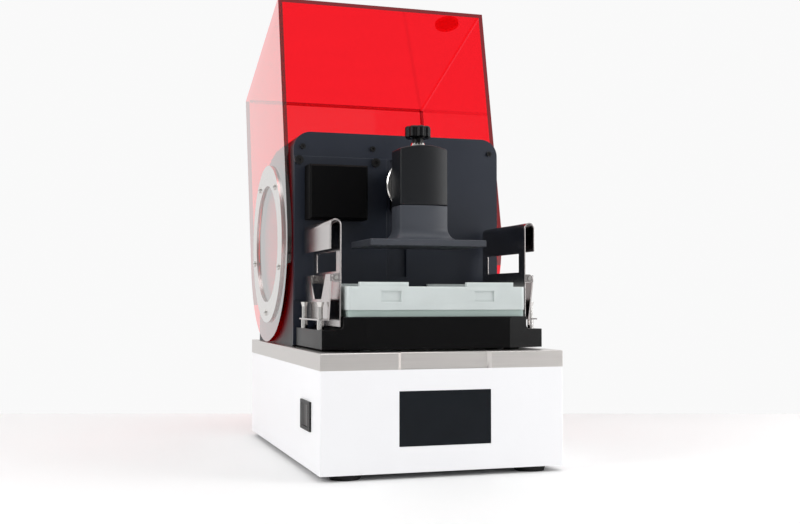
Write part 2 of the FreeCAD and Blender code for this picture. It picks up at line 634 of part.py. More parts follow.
def make_drive():
    rail_front = "(column_front - rail_depth)"
    carriage_z = (f"{BAR_Z} - carriage_height / 2", f"{BAR_Z} + carriage_height / 2")
    column = half_box("column_width / 2", ("column_front", "column_front + column_thick"),
                      (DECK_TOP, "column_top"))
    keep(column, "drive_column")
    rail_z = (f"{DECK_TOP} + rail_lift", "column_top - rail_drop")
    keep(half_box("rail_width / 2", (rail_front, "column_front"), rail_z), "drive_rail")
    block = half_box("carriage_width / 2", (CARRIAGE_FRONT, "column_front - slide_gap"), carriage_z)
    groove = half_box("rail_width / 2 + screw_gap", (f"{rail_front} - screw_gap", "column_front - slide_gap"),
                      carriage_z)
    keep(cut(block, groove), "drive_carriage")
    nut_z = (f"{BAR_Z} - nut_height / 2", f"{BAR_Z} + nut_height / 2")
    nut = box(("carriage_width / 2", "screw_x + block_edge + screw_radius"),
              ("screw_y - block_edge - screw_radius", "screw_y + block_edge + screw_radius"), nut_z)
    keep(cut(nut, rod("Z", "screw_radius + run_gap", nut_z[0], nut_z[1], "screw_x", "screw_y")), "drive_nut")
    motor_x = ("screw_x - motor_side / 2", "screw_x + motor_side / 2")
    motor_y = ("screw_y - motor_side / 2", "screw_y + motor_side / 2")
    keep(box(motor_x, motor_y, (DECK_TOP, SCREW_BASE)), "drive_motor")
    shelf_z = (SCREW_BASE, f"{SCREW_BASE} + motor_plate")
    shelf = box(("rail_width / 2 + slide_gap", motor_x[1]), (motor_y[0], "column_front"), shelf_z)
    clearance = rod("Z", "screw_radius + shaft_gap", shelf_z[0], shelf_z[1], "screw_x", "screw_y")
    keep(cut(shelf, clearance), "motor_bracket")
    keep(rod("Z", "screw_radius", SCREW_BASE + " + fit_gap", "screw_top", "screw_x", "screw_y"), "lead_screw")
    bearing_z = ("bearing_bottom", "bearing_bottom + bearing_thick")
    bearing = box(("screw_x - block_edge - screw_radius", "screw_x + block_edge + screw_radius"),
                  ("screw_y - block_edge - screw_radius", "column_front"), bearing_z)
    seat = rod("Z", "screw_radius + run_gap", bearing_z[0], bearing_z[1], "screw_x", "screw_y")
    ledge = box(("rail_width / 2 + slide_gap", "screw_x - block_edge - screw_radius"),
                ("column_front - ledge_thick", "column_front"), bearing_z)
    keep(cut(fuse(bearing, ledge), seat), "screw_bearing")


# Arm, knob and build platform

def arm_section(body, offset):
    """The arm's plan: flat back and sides, with a gently bowed front between crisp edges."""
    sketch = new_sketch(body, "XY_Plane", offset)
    half = value("arm_width") / 2
    back = value("arm_depth") / 2
    front = value("arm_crown") - back
    right = VECTOR(half, front, 0)
    left = VECTOR(-half, front, 0)
    bow = sketch.addGeometry(Part.Arc(left, VECTOR(0, -back, 0), right), False)
    corners = [right, VECTOR(half, back, 0), VECTOR(-half, back, 0), left]
    lines = [sketch.addGeometry(Part.LineSegment(corners[n], corners[n + 1]), False) for n in range(3)]
    sketch.addConstraint(Sketcher.Constraint("Coincident", bow, 2, lines[0], 1))
    sketch.addConstraint(Sketcher.Constraint("Coincident", lines[0], 2, lines[1], 1))
    sketch.addConstraint(Sketcher.Constraint("Coincident", lines[1], 2, lines[2], 1))
    sketch.addConstraint(Sketcher.Constraint("Coincident", lines[2], 2, bow, 1))
    fix_point(sketch, lines[0], 1, "arm_width / 2", "arm_crown - arm_depth / 2")
    fix_point(sketch, lines[0], 2, "arm_width / 2", "arm_depth / 2")
    fix_point(sketch, lines[1], 2, "-arm_width / 2", "arm_depth / 2")
    fix_point(sketch, lines[2], 2, "-arm_width / 2", "arm_crown - arm_depth / 2")
    crown = value("arm_crown")
    bow_radius = (half * half + crown * crown) / (2 * crown)
    number = sketch.addConstraint(Sketcher.Constraint("Radius", bow, bow_radius))
    sketch.setExpression(f"Constraints[{number}]",
                         expr("(arm_width * arm_width / 4 + arm_crown * arm_crown) / (2 * arm_crown)"))
    return sketch


def make_arm():
    bar = half_box("bar_half", (f"{ARM_BACK} + flange_thick", CARRIAGE_FRONT), ("bar_low", "bar_high"))
    keep(bar, "arm_bar")
    keep(rod("Y", "flange_radius", ARM_BACK, f"{ARM_BACK} + flange_thick", "0", BAR_Z), "arm_flange")
    body = new_body("arm_column")
    pad(body, arm_section(body, "0"), "arm_high - arm_low")
    bore = new_sketch(body, "XY_Plane")
    circle(bore, "clamp_bore")
    pocket(body, bore, "arm_high - arm_low", True)
    put(body, "0", "arm_y", "arm_low")
    keep(body, "arm_body")
    taper = cone("Z", "collar_base", "collar_tip", "arm_high", "arm_high + collar_height", "0", "arm_y")
    hole = rod("Z", "clamp_bore", "arm_high", "arm_high + collar_height", "0", "arm_y")
    keep(cut(taper, hole), "knob_collar")


def make_knob():
    body = new_body("knob_body")
    core = new_sketch(body, "XY_Plane")
    circle(core, "knob_radius")
    pad(body, core, "knob_height")
    lobe = new_sketch(body, "XY_Plane", "knob_edge")
    circle(lobe, "knob_lobe", "knob_radius - knob_lobe / 2")
    grip = pad(body, lobe, "knob_height - 2 * knob_edge")
    lobes = body.newObject("PartDesign::PolarPattern", "knob_lobes")
    lobes.Originals = [grip]
    lobes.Axis = (core, ["N_Axis"])
    lobes.Angle = 360
    lobes.Occurrences = 10
    body.Tip = lobes
    put(body, "0", "arm_y", KNOB_LOW)
    neck = rod("Z", "knob_neck", "arm_high + collar_height + screw_gap", KNOB_LOW, "0", "arm_y")
    # The screw's tip ends just over the platform's neck, which it presses down on its seat.
    shank = rod("Z", "clamp_radius", "arm_low + fit_gap", KNOB_LOW, "0", "arm_y")
    keep(fuse(body, neck, shank), "clamp_knob")


def make_platform():
    body = new_body("platform_body")
    foot = new_sketch(body, "XY_Plane", "platform_low - arm_low")
    rectangle(foot, ("-plate_half_x", "plate_half_x"), ("-plate_half_y", "plate_half_y"))
    plate = pad(body, foot, "neck_low - platform_low")
    doc.recompute()
    half_way = (value("platform_low") + value("neck_low")) / 2 - value("arm_low")
    rim = edges_along(plate.Shape, ACROSS, lambda middle: middle.z < half_way)
    rim += edges_along(plate.Shape, INWARD, lambda middle: middle.z < half_way)
    round_edges(body, plate, rim, "platform_edge", "PartDesign::Chamfer")
    neck = pad(body, arm_section(body, "neck_low - arm_low"), "arm_low - neck_low")
    doc.recompute()
    joint = value("neck_low") - value("arm_low")
    half = value("arm_width") / 2
    names = []
    for number, edge in enumerate(neck.Shape.Edges, start=1):
        limits = edge.BoundBox
        level = abs(limits.ZMin - joint) < NEAR and abs(limits.ZMax - joint) < NEAR
        if level and limits.XMax < half + NEAR and limits.XMin > -half - NEAR:
            names.append(f"Edge{number}")
    round_edges(body, neck, names, "platform_flare")
    put(body, "0", "arm_y", "arm_low")
    keep(body, "build_platform")


# Resin tray

def make_tray():
    body = new_body("tray_block")
    outline = new_sketch(body, "XY_Plane", "tray_low")
    rectangle(outline, ("-tray_half", "tray_half"), ("tray_front", "tray_back"))
    block = pad(body, outline, "tray_high - tray_low")
    doc.recompute()
    round_edges(body, block, edges_along(block.Shape, UPWARD, any_place), "tray_corner")
    inner_x = "(tray_half - tray_side_wall)"
    inner_y = ("tray_front + tray_end_wall", "tray_back - tray_end_wall")
    cavity = new_sketch(body, "XY_Plane", "tray_low")
    rectangle(cavity, ("-" + inner_x, inner_x), inner_y)
    hollow = pocket(body, cavity, "tray_high - tray_low", True)
    doc.recompute()
    reach = value("tray_half") - value("tray_side_wall")
    inside = edges_along(hollow.Shape, UPWARD, lambda middle: abs(abs(middle.x) - reach) < NEAR)
    round_edges(body, hollow, inside, "cavity_corner")
    tabs = []
    for low, high in (("-tab_out", "-tab_in"), ("tab_in", "tab_out")):
        for y in (("tray_front + tab_inset", "tray_front + tab_inset + tab_thick"),
                  ("tray_back - tab_inset - tab_thick", "tray_back - tab_inset")):
            tabs.append(box((low, high), y, ("tray_high - tab_inset", "tray_high + tab_height")))
    windows = []
    for low, high in (("-window_out", "-window_in"), ("window_in", "window_out")):
        windows.append(box((low, high), ("tray_front", "tray_front + window_depth"),
                           ("window_low", "window_high")))
    keep(cut(fuse(body, *tabs), *windows), "tray_body")
    frame_y = ("tray_front + frame_inset", "tray_back - frame_inset")
    frame = half_box("tray_half - frame_inset", frame_y, ("bed_top", "tray_low"))
    opening = half_box(f"{inner_x} - frame_lip", (f"{inner_y[0]} + frame_lip", f"{inner_y[1]} - frame_lip"),
                       ("bed_top", "tray_low"))
    seat_x = f"{inner_x} - frame_lip + film_overlap"
    seat_y = (f"{inner_y[0]} + frame_lip - film_overlap", f"{inner_y[1]} - frame_lip + film_overlap")
    seat = half_box(seat_x, seat_y, ("bed_top", "bed_top + film_seat"))
    keep(cut(frame, opening, seat), "tray_frame")
    film = half_box(f"{seat_x} - fit_gap", (f"{seat_y[0]} + fit_gap", f"{seat_y[1]} - fit_gap"),
                    ("bed_top + film_seat - film_thick", "bed_top + film_seat"))
    keep(film, "tray_film")


def make_tray_base():
    body = new_body("bed_body")
    plan = new_sketch(body, "XY_Plane", "bed_low")
    polygon(plan, [
        ("-bed_flat_half", "bed_front"), ("bed_flat_half", "bed_front"),
        ("bed_half", "bed_front + bed_sweep"), ("bed_half", "bed_back"),
        ("-bed_half", "bed_back"), ("-bed_half", "bed_front + bed_sweep"),
    ])
    pad(body, plan, "bed_top - bed_low")
    step = new_sketch(body, "XZ_Plane", "-bed_back")
    rectangle(step, ("bed_raised_half", "bed_half + step_over"), ("wing_top", "bed_top + step_over"))
    rectangle(step, ("-bed_half - step_over", "-bed_raised_half"), ("wing_top", "bed_top + step_over"))
    stepped = pocket(body, step, "bed_back - bed_front + step_over", True)
    doc.recompute()
    wing = value("wing_top")
    raised = value("bed_raised_half")
    inside = edges_along(stepped.Shape, INWARD,
                         lambda middle: abs(middle.z - wing) < NEAR and abs(abs(middle.x) - raised) < NEAR)
    filled = round_edges(body, stepped, inside, "bed_step_round")
    doc.recompute()
    half_way = (value("bed_low") + value("bed_top")) / 2
    front = value("bed_front")
    rim = edges_along(filled.Shape, ACROSS, lambda middle: middle.y < front + NEAR and middle.z > half_way)
    round_edges(body, filled, rim, "bed_edge")
    window = half_box("bed_window_x", (f"{TRAY_Y} - bed_window_y", f"{TRAY_Y} + bed_window_y"),
                      ("bed_low", "bed_top"))
    glass_x = "bed_window_x + glass_lip"
    glass_y = (f"{TRAY_Y} - bed_window_y - glass_lip", f"{TRAY_Y} + bed_window_y + glass_lip")
    glass_z = ("bed_top - glass_drop - glass_thick", "bed_top - glass_drop")
    seat = half_box(glass_x, glass_y, (glass_z[0], "bed_top"))
    keep(cut(body, window, seat), "tray_base")
    keep(half_box(f"{glass_x} - fit_gap", (f"{glass_y[0]} + fit_gap", f"{glass_y[1]} - fit_gap"), glass_z),
         "window_glass")
    pads = []
    for side in ("-", ""):
        for end in ("-", "+"):
            pads.append(rod("Z", "pad_radius", DECK_TOP, "bed_low", f"{side}pad_x", f"{TRAY_Y} {end} pad_y"))
    keep(group(*pads), "tray_base_pads")


# Tray latches, made for the left side and mirrored for the right

def latch_handle():
    outer = "(latch_in + sheet_thick)"
    fold_x = f"({outer} + fold_radius)"
    y = ("latch_front", "latch_back")
    plate = box((f"-{outer}", "-latch_in"), y, ("latch_low", "fold_z"))
    window = box((f"-{outer}", "-latch_in"), ("latch_front + grip_end", "latch_back - grip_end"),
                 ("grip_low", "grip_high"))
    tube = cut(rod("Y", "fold_radius + sheet_thick", y[0], y[1], f"-{fold_x}", "fold_z"),
               rod("Y", "fold_radius", y[0], y[1], f"-{fold_x}", "fold_z"),
               box((f"-{fold_x} - fold_radius - 2 * sheet_thick", "-latch_in + sheet_thick"), y,
                   ("fold_z - fold_radius - 2 * sheet_thick", "fold_z")))
    flap_x = (f"-{fold_x} - fold_radius - sheet_thick", f"-{fold_x} - fold_radius")
    flap = box(flap_x, y, ("flap_low", "fold_z"))
    ears = []
    ends = (("latch_front", "latch_front + sheet_thick"), ("latch_back - sheet_thick", "latch_back"))
    for start, end in ends:
        tip = rod("Y", "latch_ear", start, end, "-pin_x", "pin_z")
        web = box(("-pin_x", "-latch_in"), (start, end), ("pin_z - latch_ear", "pin_z + latch_ear"))
        ears.append(cut(fuse(tip, web), rod("Y", "pin_radius + run_gap", start, end, "-pin_x", "pin_z")))
    return fuse(cut(plate, window), tube, flap, *ears)


def latch_pins():
    reach = "(2 * sheet_thick + ear_gap + pin_stand)"
    front = rod("Y", "pin_radius", "latch_front - pin_stand", f"latch_front + {reach}", "-pin_x", "pin_z")
    back = rod("Y", "pin_radius", f"latch_back - {reach}", "latch_back + pin_stand", "-pin_x", "pin_z")
    return group(front, back)


def bracket_ends():
    inner = "(sheet_thick + ear_gap)"
    return ((f"latch_front + {inner}", f"latch_front + {inner} + sheet_thick"),
            (f"latch_back - {inner} - sheet_thick", f"latch_back - {inner}"))


def latch_bracket():
    ends = bracket_ends()
    outer = "(web_in + sheet_thick)"
    top = "pin_z + bracket_ear"
    body = new_body("bracket_web")
    profile = new_sketch(body, "YZ_Plane", f"-{outer}")
    polygon(profile, [
        (f"{ends[0][0]} + web_taper / 2", "web_low"), (f"{ends[1][1]} - web_taper / 2", "web_low"),
        (ends[1][1], "pin_z - bracket_ear"), (ends[1][1], top),
        (f"{ends[1][1]} - web_taper", top), (f"{ends[1][1]} - 2 * web_taper", "(web_low + pin_z) / 2"),
        (f"{ends[0][0]} + 2 * web_taper", "(web_low + pin_z) / 2"), (f"{ends[0][0]} + web_taper", top),
        (ends[0][0], top), (ends[0][0], "pin_z - bracket_ear"),
    ])
    pad(body, profile, "sheet_thick")
    posts = post_places()
    flange = box(("-post_x - post_foot", "-web_in"),
                 (f"{ends[0][0]} + web_taper / 2", f"{ends[1][1]} - web_taper / 2"),
                 ("web_low", "web_low + sheet_thick"))
    holes = [rod("Z", "post_radius + fit_gap", "web_low", "web_low + sheet_thick", "-post_x", y) for y in posts]
    ears = []
    for start, end in ends:
        tip = rod("Y", "bracket_ear", start, end, "-pin_x", "pin_z")
        strip = box((f"-{outer}", "-pin_x"), (start, end), ("pin_z - bracket_ear", "pin_z + bracket_ear"))
        ears.append(cut(fuse(tip, strip), rod("Y", "pin_radius", start, end, "-pin_x", "pin_z")))
    return fuse(body, cut(flange, *holes), *ears)


def post_places():
    return ("latch_front + post_inset", "latch_back - post_inset")


def latch_posts():
    posts = []
    for y in post_places():
        foot = rod("Z", "post_foot", "wing_top", "web_low", "-post_x", y)
        neck = rod("Z", "post_radius", "web_low", "post_top - post_flare", "-post_x", y)
        head = cone("Z", "post_radius", "post_head", "post_top - post_flare", "post_top", "-post_x", y)
        posts.append(fuse(foot, neck, head))
    return group(*posts)


def make_latches():
    for stem, maker in (("latch_handle", latch_handle), ("latch_bracket", latch_bracket)):
        left = maker()
        keep(left, stem + "_left")
        keep(mirrored(left), stem + "_right")
    for label, maker in (("latch_pins", latch_pins), ("latch_posts", latch_posts)):
        left = maker()
        keep(group(left, mirrored(left)), label)


# Hood, drawn closed about its pivot and then swung open

def swing_open(item):
    turn = FreeCAD.Rotation(VECTOR(1, 0, 0), -value("open_angle"))
    item.Placement = FreeCAD.Placement(VECTOR(), turn)
    put(item, "0", "pivot_y", "pivot_z")
    return item


def ring_bolts(sketch, radius):
    for number in range(RING_BOLTS):
        angle = f"(ring_bolt_first + open_angle + {number * 360 / RING_BOLTS})"
        circle(sketch, radius, f"ring_bolt_circle * cos({angle})", f"ring_bolt_circle * sin({angle})")


def hood_side(label, side):
    """One side: straight below, above and in front, and round behind the pivot."""
    body = new_body(label)
    sketch = new_sketch(body, "YZ_Plane", "-" + HALF_X if side < 0 else HOOD_IN)
    radius = value("hood_radius")
    top = value("hood_top")
    rise = top - radius
    low = VECTOR(0, -radius, 0)
    mid = VECTOR(radius, 0, 0)
    mid_up = VECTOR(radius, rise, 0)
    high = VECTOR(0, top, 0)
    high_front = VECTOR(-value("hood_reach_top"), top, 0)
    low_front = VECTOR(-value("hood_reach_low"), -radius, 0)
    slant = math.sqrt(0.5)
    lower = sketch.addGeometry(Part.Arc(low, VECTOR(radius * slant, -radius * slant, 0), mid), False)
    back = sketch.addGeometry(Part.LineSegment(mid, mid_up), False)
    upper = sketch.addGeometry(Part.Arc(mid_up, VECTOR(radius * slant, rise + radius * slant, 0), high), False)
    roof = sketch.addGeometry(Part.LineSegment(high, high_front), False)
    front = sketch.addGeometry(Part.LineSegment(high_front, low_front), False)
    sill = sketch.addGeometry(Part.LineSegment(low_front, low), False)
    chain = [lower, back, upper, roof, front, sill]
    for number, edge in enumerate(chain):
        following = chain[(number + 1) % len(chain)]
        sketch.addConstraint(Sketcher.Constraint("Coincident", edge, 2, following, 1))
    fix_point(sketch, lower, 3, "0", "0")
    fix_point(sketch, upper, 3, "0", "hood_top - hood_radius")
    fix_point(sketch, back, 1, "hood_radius", "0")
    fix_point(sketch, back, 2, "hood_radius", "hood_top - hood_radius")
    fix_point(sketch, front, 1, "-hood_reach_top", "hood_top")
    fix_point(sketch, front, 2, "-hood_reach_low", "-hood_radius")
    # Geometry -2 is the sketch's own upright axis.
    sketch.addConstraint(Sketcher.Constraint("PointOnObject", lower, 1, -2))
    sketch.addConstraint(Sketcher.Constraint("PointOnObject", upper, 2, -2))
    ring_bolts(sketch, "ring_bolt_radius + fit_gap")
    pad(body, sketch, "hood_wall")
    return swing_open(body)


def make_hood():
    keep(hood_side("hood_left_body", -1), "hood_left")
    keep(hood_side("hood_right_body", 1), "hood_right")
    wall_x = ("-" + HOOD_IN, HOOD_IN)
    roof = new_body("hood_roof_body")
    flat = new_sketch(roof, "XY_Plane", "hood_top - hood_wall")
    rectangle(flat, wall_x, ("-hood_reach_top", "0"))
    pad(roof, flat, "hood_wall")
    keep(swing_open(roof), "hood_roof")
    # The front sheet leans back from the sill to the roof.
    front = new_body("hood_front_body")
    profile = new_sketch(front, "YZ_Plane", "-" + HOOD_IN)
    lean = "(hood_reach_low - hood_reach_top) / (hood_top + hood_radius)"
    roof_low = "(hood_top - hood_wall)"
    meet = f"(hood_reach_top + {lean} * hood_wall)"
    polygon(profile, [
        ("-hood_reach_low", "-hood_radius"), ("-hood_reach_low + hood_wall", "-hood_radius"),
        (f"-{meet} + hood_wall", roof_low), (f"-{meet}", roof_low),
    ])
    pad(front, profile, f"2 * {HOOD_IN}")
    keep(swing_open(front), "hood_front")
    make_pull_disc()


def make_pull_disc():
    """A second round layer on the outside of the front sheet, for the fingertips."""
    body = new_body("disc_body")
    lean = math.degrees(math.atan2(value("hood_reach_low") - value("hood_reach_top"),
                                   value("hood_top") + value("hood_radius")))
    face = new_sketch(body, "XZ_Plane")
    circle(face, "disc_radius")
    pad(body, face, "disc_thick")
    keep(body, "hood_pull_disc")
    slope = FreeCAD.Rotation(VECTOR(1, 0, 0), -lean)
    turn = FreeCAD.Rotation(VECTOR(1, 0, 0), -value("open_angle"))
    up = value("disc_up")
    rise = math.cos(math.radians(lean)) * up
    back = math.sin(math.radians(lean)) * up
    across = value("base_width") / 2 - value("disc_inset")
    centre = VECTOR(across, back - value("hood_reach_low"), rise - value("hood_radius"))
    swung = FreeCAD.Placement(VECTOR(0, value("pivot_y"), value("pivot_z")), turn)
    body.Placement = swung.multiply(FreeCAD.Placement(centre, slope))


def make_ring(label, side):
    body = new_body(label)
    sketch = new_sketch(body, "YZ_Plane", f"-{HALF_X} - ring_thick" if side < 0 else HALF_X)
    circle(sketch, "ring_radius")
    circle(sketch, "ring_bore")
    ring_bolts(sketch, "ring_bolt_radius + fit_gap")
    pad(body, sketch, "ring_thick")
    return swing_open(body)


def make_hub(label, side):
    body = new_body(label)
    sketch = new_sketch(body, "YZ_Plane", "-" + HOOD_IN if side < 0 else f"{HOOD_IN} - hub_depth")
    circle(sketch, "hub_radius")
    circle(sketch, "ring_bore")
    ring_bolts(sketch, "ring_bolt_radius + fit_gap")
    pad(body, sketch, "hub_depth")
    return swing_open(body)


def make_bush():
    low = HOUSING_X + " - hub_depth + bush_inset"
    inner = HOUSING_X + " - housing_wall"
    sleeve = rod("X", "hub_radius + run_gap + bush_wall", low, HOUSING_X, "pivot_y", "pivot_z")
    disc = rod("X", "hub_radius + bush_wall + bush_flange", f"{inner} - bush_flange_thick", inner,
               "pivot_y", "pivot_z")
    # The flange is trimmed where the housing's rounded corner turns in behind it.
    flange = doc.addObject("Part::Common", "bush_flange")
    flange.Base = disc
    flange.Tool = housing_block("bush_room", "(housing_wall + fit_gap)")
    bore = rod("X", "hub_radius + run_gap", low, HOUSING_X, "pivot_y", "pivot_z")
    return cut(fuse(sleeve, flange), bore)


def ring_screws():
    screws = []
    outer = f"({HALF_X} + ring_thick)"
    for number in range(RING_BOLTS):
        angle = f"(ring_bolt_first + {number * 360 / RING_BOLTS})"
        y = f"pivot_y + ring_bolt_circle * cos({angle})"
        z = f"pivot_z + ring_bolt_circle * sin({angle})"
        shank = rod("X", "ring_bolt_radius", f"{HOOD_IN} - hub_depth / 2", outer, y, z)
        head = rod("X", "ring_head_radius", outer, f"{outer} + ring_head_height", y, z)
        socket = rod("X", "ring_socket_radius", outer, f"{outer} + ring_head_height", y, z)
        screws.append(cut(fuse(shank, head), socket))
    return group(*screws)


def make_hinges():
    for side, name in ((-1, "left"), (1, "right")):
        keep(make_ring(f"ring_{name}", side), f"hinge_ring_{name}")
    keep(group(make_hub("hub_left", -1), make_hub("hub_right", 1)), "hinge_hubs")
    for label, maker in (("hinge_bushes", make_bush), ("ring_screws", ring_screws)):
        right = maker()
        keep(group(right, mirrored(right)), label)


make_base_shell()
make_base_floor()
make_deck()
make_screen()
make_switch()
make_connectors()
make_fan()
make_light_engine()
make_electronics()
make_housing()
make_front_panel()
make_heater()
make_drive()
make_arm()
make_knob()
make_platform()
make_tray()
make_tray_base()
make_latches()
make_hood()
make_hinges()
doc.recompute()

broken = [item.Name for item in doc.Objects if "Invalid" in item.State or "Error" in item.State]
for item in sub_parts:
    if item.Shape.isNull() or not item.Shape.isValid():
        broken.append(item.Label)
if broken:
    raise RuntimeError("these objects failed: " + ", ".join(broken))

# The open hood leans out behind the base, so the middle of the whole machine lies behind the footprint's.
# The sub-parts are written with the origin under that middle, on the surface that the feet stand on.
front = min(item.Shape.BoundBox.YMin for item in sub_parts)
back = max(item.Shape.BoundBox.YMax for item in sub_parts)
to_origin = VECTOR(0, -(front + back) / 2, 0)
os.makedirs("parts", exist_ok=True)
for item in sub_parts:
    item.Shape.translated(to_origin).exportStep(f"parts/{item.Label}.step")
print(len(sub_parts), "sub-parts written")
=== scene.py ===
import json
import math

import bmesh
import bpy
from mathutils import Matrix, Vector


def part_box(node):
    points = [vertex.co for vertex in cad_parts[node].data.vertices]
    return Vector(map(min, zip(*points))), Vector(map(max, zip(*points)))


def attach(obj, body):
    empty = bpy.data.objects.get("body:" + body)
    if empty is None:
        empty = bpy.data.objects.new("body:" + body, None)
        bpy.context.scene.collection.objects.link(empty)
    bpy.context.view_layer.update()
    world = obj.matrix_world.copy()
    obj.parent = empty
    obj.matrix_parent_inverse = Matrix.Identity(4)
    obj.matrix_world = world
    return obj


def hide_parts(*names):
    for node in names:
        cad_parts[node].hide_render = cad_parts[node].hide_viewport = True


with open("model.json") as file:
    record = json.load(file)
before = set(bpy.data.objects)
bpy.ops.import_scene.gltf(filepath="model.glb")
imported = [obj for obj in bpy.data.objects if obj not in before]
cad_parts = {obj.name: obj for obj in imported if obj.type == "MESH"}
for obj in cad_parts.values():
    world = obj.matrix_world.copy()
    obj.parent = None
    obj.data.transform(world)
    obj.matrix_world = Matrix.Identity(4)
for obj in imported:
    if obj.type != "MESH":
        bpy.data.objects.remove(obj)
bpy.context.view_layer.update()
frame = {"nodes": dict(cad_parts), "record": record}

# Metres and degrees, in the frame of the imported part: X right, Y back, Z up.
nodes = frame["nodes"]

# Camera, fitted to the base's corners in the photograph: its focal length is in the photograph's pixels
PHOTO_WIDTH = 800
PHOTO_FOCAL = 1080.8
SENSOR = 36.0
CAMERA_FROM_BASE = Vector((-0.3699, -1.2325, 0.1788))
CAMERA_YAW = 17.29
CAMERA_PITCH = 1.98
LEVEL_VIEW = 90
# Floor and wall: their reach, the wall's distance from the camera, and their tones
STAGE_REACH = 6.0
WALL_DISTANCE = 1.70
WALL_SEEN = 0.95
WALL_LIT = 0.9
FLOOR_TONE = 0.88
FLOOR_ROUGHNESS = 0.6
# Strength of the surroundings where the camera sees them, and where they light the object or reflect in it
WORLD_SEEN = 1.0
WORLD_LIT = 0.45
LAMP_AIM = (0, 0, 0.2)
# Directions in which the open hood's mouth, front sheet and sides look, at rest
MOUTH_NORMAL = (0.0, -0.976, 0.216)
FRONT_NORMAL = (0.0, 0.332, 0.943)
SIDE_NORMAL = (1.0, 0.0, 0.0)
# A face looks along a direction where the cosine of the angle between them is over this
FACING_COSINE = 0.9
# Light that one face of the hood lets through: on its sheets, on the cut edges round its mouth, at glued
# joints, where two faces meet and so each has the square root of a sheet's tint, and on the pull disc
HOOD_TINT = (0.995, 0.125, 0.16, 1.0)
HOOD_EDGE = (0.22, 0.01, 0.03, 1.0)
JOINT_TINT = (0.997, 0.354, 0.4, 1.0)
DISC_TINT = (0.87, 0.06, 0.12, 1.0)
ACRYLIC_IOR = 1.49
GLASS_IOR = 1.5
# Most of a noise texture's values lie between these
NOISE_LOW = 0.3
NOISE_HIGH = 0.7
# Broken edges: their widths, and the angles from which an edge is broken or shaded as sharp
ARM_EASE = 0.0014
PLATE_EASE = 0.0012
SHEET_EASE = 0.0006
EASE_SEGMENTS = 2
EASE_ANGLE = 50
SHARP_ANGLE = 35
WELD_DISTANCE = 0.00001
# Steps round a turned form
TURN_STEPS = 96
# How far the pull disc lies further from the mouth than its solid, along the front sheet
DISC_SHIFT = 0.010
# Arm: depth of its sides, bow of its front and arch of its top
ARM_DEPTH = 0.037
ARM_BOW = 0.004
ARM_ARCH = 0.004
ARM_STEPS = 24
# Flange behind the arm, and the boss that laps over the arm's bar
FLANGE_RADIUS = 0.032
FLANGE_THICK = 0.004
FLANGE_EDGE = 0.001
BOSS_RADIUS = 0.012
BOSS_LAP = 0.004
# Platform: its plate's thickness, and the neck's corners and flare
PLATE_THICK = 0.0072
NECK_CORNER = 0.0015
NECK_FLARE = 0.0135
NECK_STEPS = 6
FLARE_STEPS = 8
# Star knob
KNOB_RADIUS = 0.0145
KNOB_HEIGHT = 0.013
KNOB_LIFT = 0.0052
KNOB_NECK = 0.006
KNOB_EDGE = 0.0015
KNOB_CROWN = 0.00075
KNOB_LOBES = 8
KNOB_SCALLOP = 0.0022
# Black strip that rides with the arm behind the front panel: painted shade, a dark sheet that stands in for
# the shade inside the slot
SHADE_STRIP_GAP = 0.002
SHADE_STRIP_THICK = 0.0015
SHADE_STRIP_HALF = 0.014
SHADE_STRIP_BELOW = 0.084
SHADE_STRIP_ABOVE = 0.034
# Dished web across each hinge hub
HUB_BORE = 0.071
WEB_CLEARANCE = 0.0005
WEB_FLOOR_RADIUS = 0.0564
WEB_DISH = 0.004
WEB_THICK = 0.002


def middle(name):
    """Middle of a CAD node's box."""
    low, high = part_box(name)
    return Vector(low).lerp(Vector(high), 0.5)


def base_middle():
    """Middle of the base, on the floor."""
    centre = middle("base_shell")
    return Vector((centre.x, centre.y, 0))


def arm_rear():
    """Place of the arm's rear face, which the flange lies against."""
    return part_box("arm_body")[0][1] + ARM_DEPTH


def srgb(red, green, blue):
    """A colour as it shows on screen, 0 to 255, as the linear colour that shaders use."""
    def linear(level):
        part = level / 255
        return part / 12.92 if part <= 0.04045 else ((part + 0.055) / 1.055) ** 2.4
    return (linear(red), linear(green), linear(blue), 1.0)


def grey(level):
    return (level, level, level, 1.0)


def shade(colour, share):
    """A colour at a share of its brightness."""
    return (colour[0] * share, colour[1] * share, colour[2] * share, 1.0)


